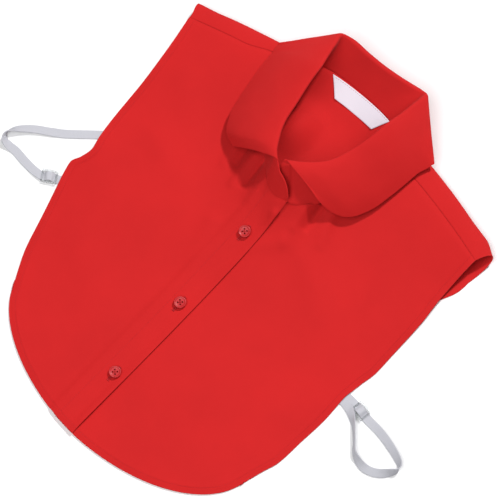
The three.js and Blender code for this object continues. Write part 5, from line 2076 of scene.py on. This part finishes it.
@dataclass
class ElasticLoop:
    """White elastic from the front's edge out and back, with its clear slide."""

    form: BibForm
    finishes: Finishes
    side: Side
    table: tuple[Row, ...]
    reach: float
    centre_up: float
    slide_out: float
    slide_first: bool
    width: float = 8
    thickness: float = 1.0
    gap: float = 0.3
    slide_thickness: float = 1.5
    bar: float = 1.6
    window: float = 4.9
    side_clearance: float = 0.6
    arch_clearance: float = 0.4
    route_steps: int = 600
    tangent_step: float = 0.002
    wall_share: float = 0.9
    edge_radius: float = 0.28
    corner_radius: float = 0.6
    rim_radius: float = 0.35

    def __post_init__(self) -> None:
        """Works out the route and the slide's place on it."""
        self.anchor = self.form.side_point(self.side, self.centre_up)
        base = abs(self.anchor.x)
        self.points = [Vector((self.side.value * (base + self.reach * out),
                               self.anchor.y + self.reach * along, self.thickness / 2))
                       for out, along, _ in self.table]
        self.knots = [0.0]
        for start, end in zip(self.points, self.points[1:]):
            self.knots.append(self.knots[-1] + (end - start).length ** 0.5)
        steps = self.route_steps
        wanted = range(0, steps // 2) if self.slide_first else range(steps // 2 + 1, steps + 1)
        self.slide_share = min((step / steps for step in wanted), key=lambda share: abs(
            (self.side.value * self.route(share).x - base) / self.reach - self.slide_out))
        self.slide_point = self.route(self.slide_share)

    def route(self, share: float) -> Vector:
        """Returns a point of the centripetal curve through the table's points.

        Args:
            share: The share of the way, from 0 to 1.

        Returns:
            The point.
        """
        points, knots = self.points, self.knots
        place = share * (len(points) - 1)
        index = min(int(place), len(points) - 2)
        local = place - index
        before = points[index - 1] if index > 0 else points[0] * 2 - points[1]
        after = points[index + 2] if index + 2 < len(points) else points[-1] * 2 - points[-2]
        start, end = points[index], points[index + 1]
        t0 = max((start - before).length ** 0.5, 1e-4)
        t1 = knots[index + 1] - knots[index]
        t2 = max((after - end).length ** 0.5, 1e-4)
        leave = ((start - before) / t0 - (end - before) / (t0 + t1) + (end - start) / t1) * t1
        arrive = ((end - start) / t1 - (after - start) / (t1 + t2) + (after - end) / t2) * t1
        return cubic((start, end), (leave, arrive), local)

    def frame_at(self, share: float) -> tuple[Vector, Vector, Vector]:
        """Returns the band's middle point, its direction across and its direction along.

        Args:
            share: The share of the way along the route.

        Returns:
            The point and both directions.
        """
        step = self.tangent_step
        tangent = (self.route(min(share + step, 1)) - self.route(max(share - step, 0))).normalized()
        point = self.route(share)
        tilts = [(index / (len(self.table) - 1), row[2]) for index, row in enumerate(self.table)]
        tilt = math.radians(read_table(tilts, 1, share))
        flat = Vector((0, 0, 1)).cross(tangent).normalized()
        across = Matrix.Rotation(tilt, 3, tangent) @ flat
        arch_top = self.bar / 2 + self.arch_clearance
        arch = 1 - ease(arch_top, arch_top + self.window - self.arch_clearance,
                        (point - self.slide_point).length)
        bar_top = self.thickness + 2 * self.gap + self.slide_thickness
        upright = abs(across.z) * self.width + math.sqrt(max(1 - across.z ** 2, 0)) * self.thickness
        point.z = upright / 2 + arch * bar_top
        return point, across, tangent

    def band_place(self, across: float, along: float) -> Placed:
        """Returns a point of the band, the cut's coordinates and the weight of its edge.

        Args:
            across: Share across.
            along: Share along.

        Returns:
            The three of them.
        """
        point, width, _ = self.frame_at(along)
        cut = (across * self.width, along * 4 * self.reach)
        return point + width * self.width * (across - 0.5), cut, 1.0

    def band(self) -> Object:
        """Makes the elastic.

        Returns:
            The elastic's object.
        """
        name = f"elastic_band_{self.side.name.lower()}"
        band = MeshMaker.sheet(name, spread(((1, 8),)), spread(((1, 260),)), self.band_place)
        MeshMaker.wall(band, self.thickness * self.wall_share, 1, 0, self.edge_radius)
        Finishes.ELASTIC.dress(band, self.finishes.elastic)
        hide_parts(f"elastic_{self.side.name.lower()}")
        return band

    def slide(self) -> Object:
        """Makes the clear slide with its two windows and middle bar.

        Returns:
            The slide's object.
        """
        length = 2 * self.window + 3 * self.bar
        inner = self.width + 2 * self.side_clearance
        lines_x = (-length / 2, -length / 2 + self.bar, -self.bar / 2, self.bar / 2,
                   length / 2 - self.bar, length / 2)
        lines_y = (-inner / 2 - self.bar, -inner / 2, inner / 2, inner / 2 + self.bar)
        bm = bmesh.new()
        bmesh.ops.create_grid(bm, x_segments=5, y_segments=3, size=1)
        for vert in bm.verts:
            vert.co.x = lines_x[round((vert.co.x + 1) / 2 * 5)]
            vert.co.y = lines_y[round((vert.co.y + 1) / 2 * 3)]
        windows = [face for face in bm.faces if abs(face.calc_center_median().y) < 0.1
                   and self.bar / 2 < abs(face.calc_center_median().x) < length / 2 - self.bar]
        bmesh.ops.delete(bm, geom=windows, context="FACES")
        risen = bmesh.ops.extrude_face_region(bm, geom=bm.faces[:])
        raised = [item for item in risen["geom"] if isinstance(item, bmesh.types.BMVert)]
        bmesh.ops.translate(bm, vec=(0, 0, self.slide_thickness), verts=raised)
        bmesh.ops.recalc_face_normals(bm, faces=bm.faces)
        corners = [edge for edge in bm.edges if abs(edge.verts[0].co.z - edge.verts[1].co.z) > 1
                   and edge.calc_face_angle(0) > 1]
        bmesh.ops.bevel(bm, geom=corners, offset=self.corner_radius, segments=3, profile=0.5,
                        affect="EDGES", material=-1)
        rims = [edge for edge in bm.edges if edge.calc_face_angle(0) > 1]
        bmesh.ops.bevel(bm, geom=rims, offset=self.rim_radius, segments=3, profile=0.5,
                        affect="EDGES", material=-1)
        tangent = self.frame_at(self.slide_share)[2]
        turn = Matrix.Rotation(math.atan2(tangent.y, tangent.x), 4, "Z")
        base = Matrix.Translation((self.slide_point.x, self.slide_point.y, self.thickness + self.gap))
        bmesh.ops.transform(bm, matrix=base @ turn, verts=bm.verts)
        slide = MeshMaker.finish(f"clear_slide_{self.side.name.lower()}", bm)
        Finishes.PLASTIC.dress(slide, self.finishes.plastic)
        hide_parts(f"slide_{self.side.name.lower()}")
        return slide

    def build(self) -> list[Object]:
        """Makes the band and the slide."""
        return [self.band(), self.slide()]


@dataclass
class Studio:
    """Pale table, soft light and the camera."""

    finishes: Finishes
    azimuth: float = 42.3
    elevation: float = 71.0
    distance: float = 12.36
    lens: float = 1000
    target: tuple[float, float, float] = (0.0116, 0.0394, 0.0)
    table_reach: float = 6
    surroundings: float = 0.14

    def table(self) -> Object:
        """Makes the table top.

        Returns:
            The table's object.
        """
        bm = bmesh.new()
        bmesh.ops.create_grid(bm, x_segments=4, y_segments=4, size=self.table_reach)
        mesh = bpy.data.meshes.new("table_top")
        bm.to_mesh(mesh)
        bm.free()
        top = bpy.data.objects.new("table_top", mesh)
        bpy.context.scene.collection.objects.link(top)
        top.data.materials.append(self.finishes.table)
        return top

    def lamp(self, name: str, place: tuple[float, float, float], size: float, power: float) -> None:
        """Hangs a square lamp that shines at the bib.

        Args:
            name: The lamp's name.
            place: Where it hangs, in metres.
            size: Its side.
            power: Its power in watts.
        """
        light = bpy.data.lights.new(name, "AREA")
        light.size, light.energy = size, power
        lamp = bpy.data.objects.new(name, light)
        lamp.location = place
        aim = Vector(self.target) - Vector(place)
        lamp.rotation_euler = aim.to_track_quat("-Z", "Y").to_euler()
        bpy.context.scene.collection.objects.link(lamp)

    def camera(self) -> None:
        """Sets the camera at the photograph's angle."""
        data = bpy.data.cameras.new("camera")
        data.sensor_width, data.lens = 36, self.lens
        data.clip_start, data.clip_end = 0.05, 60
        camera = bpy.data.objects.new("camera", data)
        turn, rise = math.radians(self.azimuth), math.radians(self.elevation)
        back = Vector((math.sin(turn) * math.cos(rise), -math.cos(turn) * math.cos(rise), math.sin(rise)))
        camera.location = Vector(self.target) + back * self.distance
        camera.rotation_euler = back.to_track_quat("Z", "Y").to_euler()
        bpy.context.scene.collection.objects.link(camera)
        bpy.context.scene.camera = camera

    def build(self) -> None:
        """Sets up the table, the lamps, the surroundings and the camera."""
        self.table()
        self.lamp("key_lamp", (-0.1, 2.7, 3.0), size=0.32, power=127)
        self.lamp("overhead_lamp", (0.1, -0.9, 2.1), size=2.0, power=43)
        world = bpy.data.worlds.new("surroundings")
        world.use_nodes = True
        background = world.node_tree.nodes["Background"]
        background.inputs[0].default_value = (1, 1, 1, 1)
        background.inputs[1].default_value = self.surroundings
        scene = bpy.context.scene
        scene.world = world
        scene.view_settings.view_transform = "Standard"
        self.camera()


def report(pieces: Iterable[Object]) -> None:
    """Reports finished pieces and their sizes through the log.

    Args:
        pieces: The pieces, in the order of the report.
    """
    for piece in pieces:
        low = [min(vert.co[axis] for vert in piece.data.vertices) for axis in range(3)]
        high = [max(vert.co[axis] for vert in piece.data.vertices) for axis in range(3)]
        sizes = " x ".join(f"{(b - a) / MM:.1f}" for a, b in zip(low, high))
        LOG.info("%s: %d faces, %s mm", piece.name, len(piece.data.polygons), sizes)


def main() -> None:
    """Builds the collar, its trimmings and the studio, in order."""
    logging.basicConfig(level=logging.INFO, format="%(name)s: %(message)s")
    form = BibForm()
    finishes = Finishes.make()
    loops = [
        ElasticLoop(form, finishes, Side.RIGHT, RIGHT_LOOP, reach=66, centre_up=0.508,
                    slide_out=0.12, slide_first=False),
        ElasticLoop(form, finishes, Side.LEFT, LEFT_LOOP, reach=84, centre_up=0.482,
                    slide_out=0.225, slide_first=True),
    ]
    anchors = {loop.side: tuple((point.x, point.y) for point in (loop.points[0], loop.points[-1]))
               for loop in loops}
    back = BackPanel(form, finishes)
    report([back.build(), back.sew()])
    for side in Side:
        front = FrontPanel(form, finishes, side=side, anchors=anchors[side], creases=CREASES[side])
        report([front.build(), front.sew()])
    report(Collar(form, finishes).build())
    report(NeckLabel(form, finishes, back=back).build())
    for number in range(3):
        x, y = number * BUTTON_STEP[0], FIRST_BUTTON_Y + number * BUTTON_STEP[1]
        report(ShirtButton(form, finishes, number + 1, x, y).build())
    for loop in loops:
        report(loop.build())
    Studio(finishes).build()


if __name__ == "__main__":
    main()
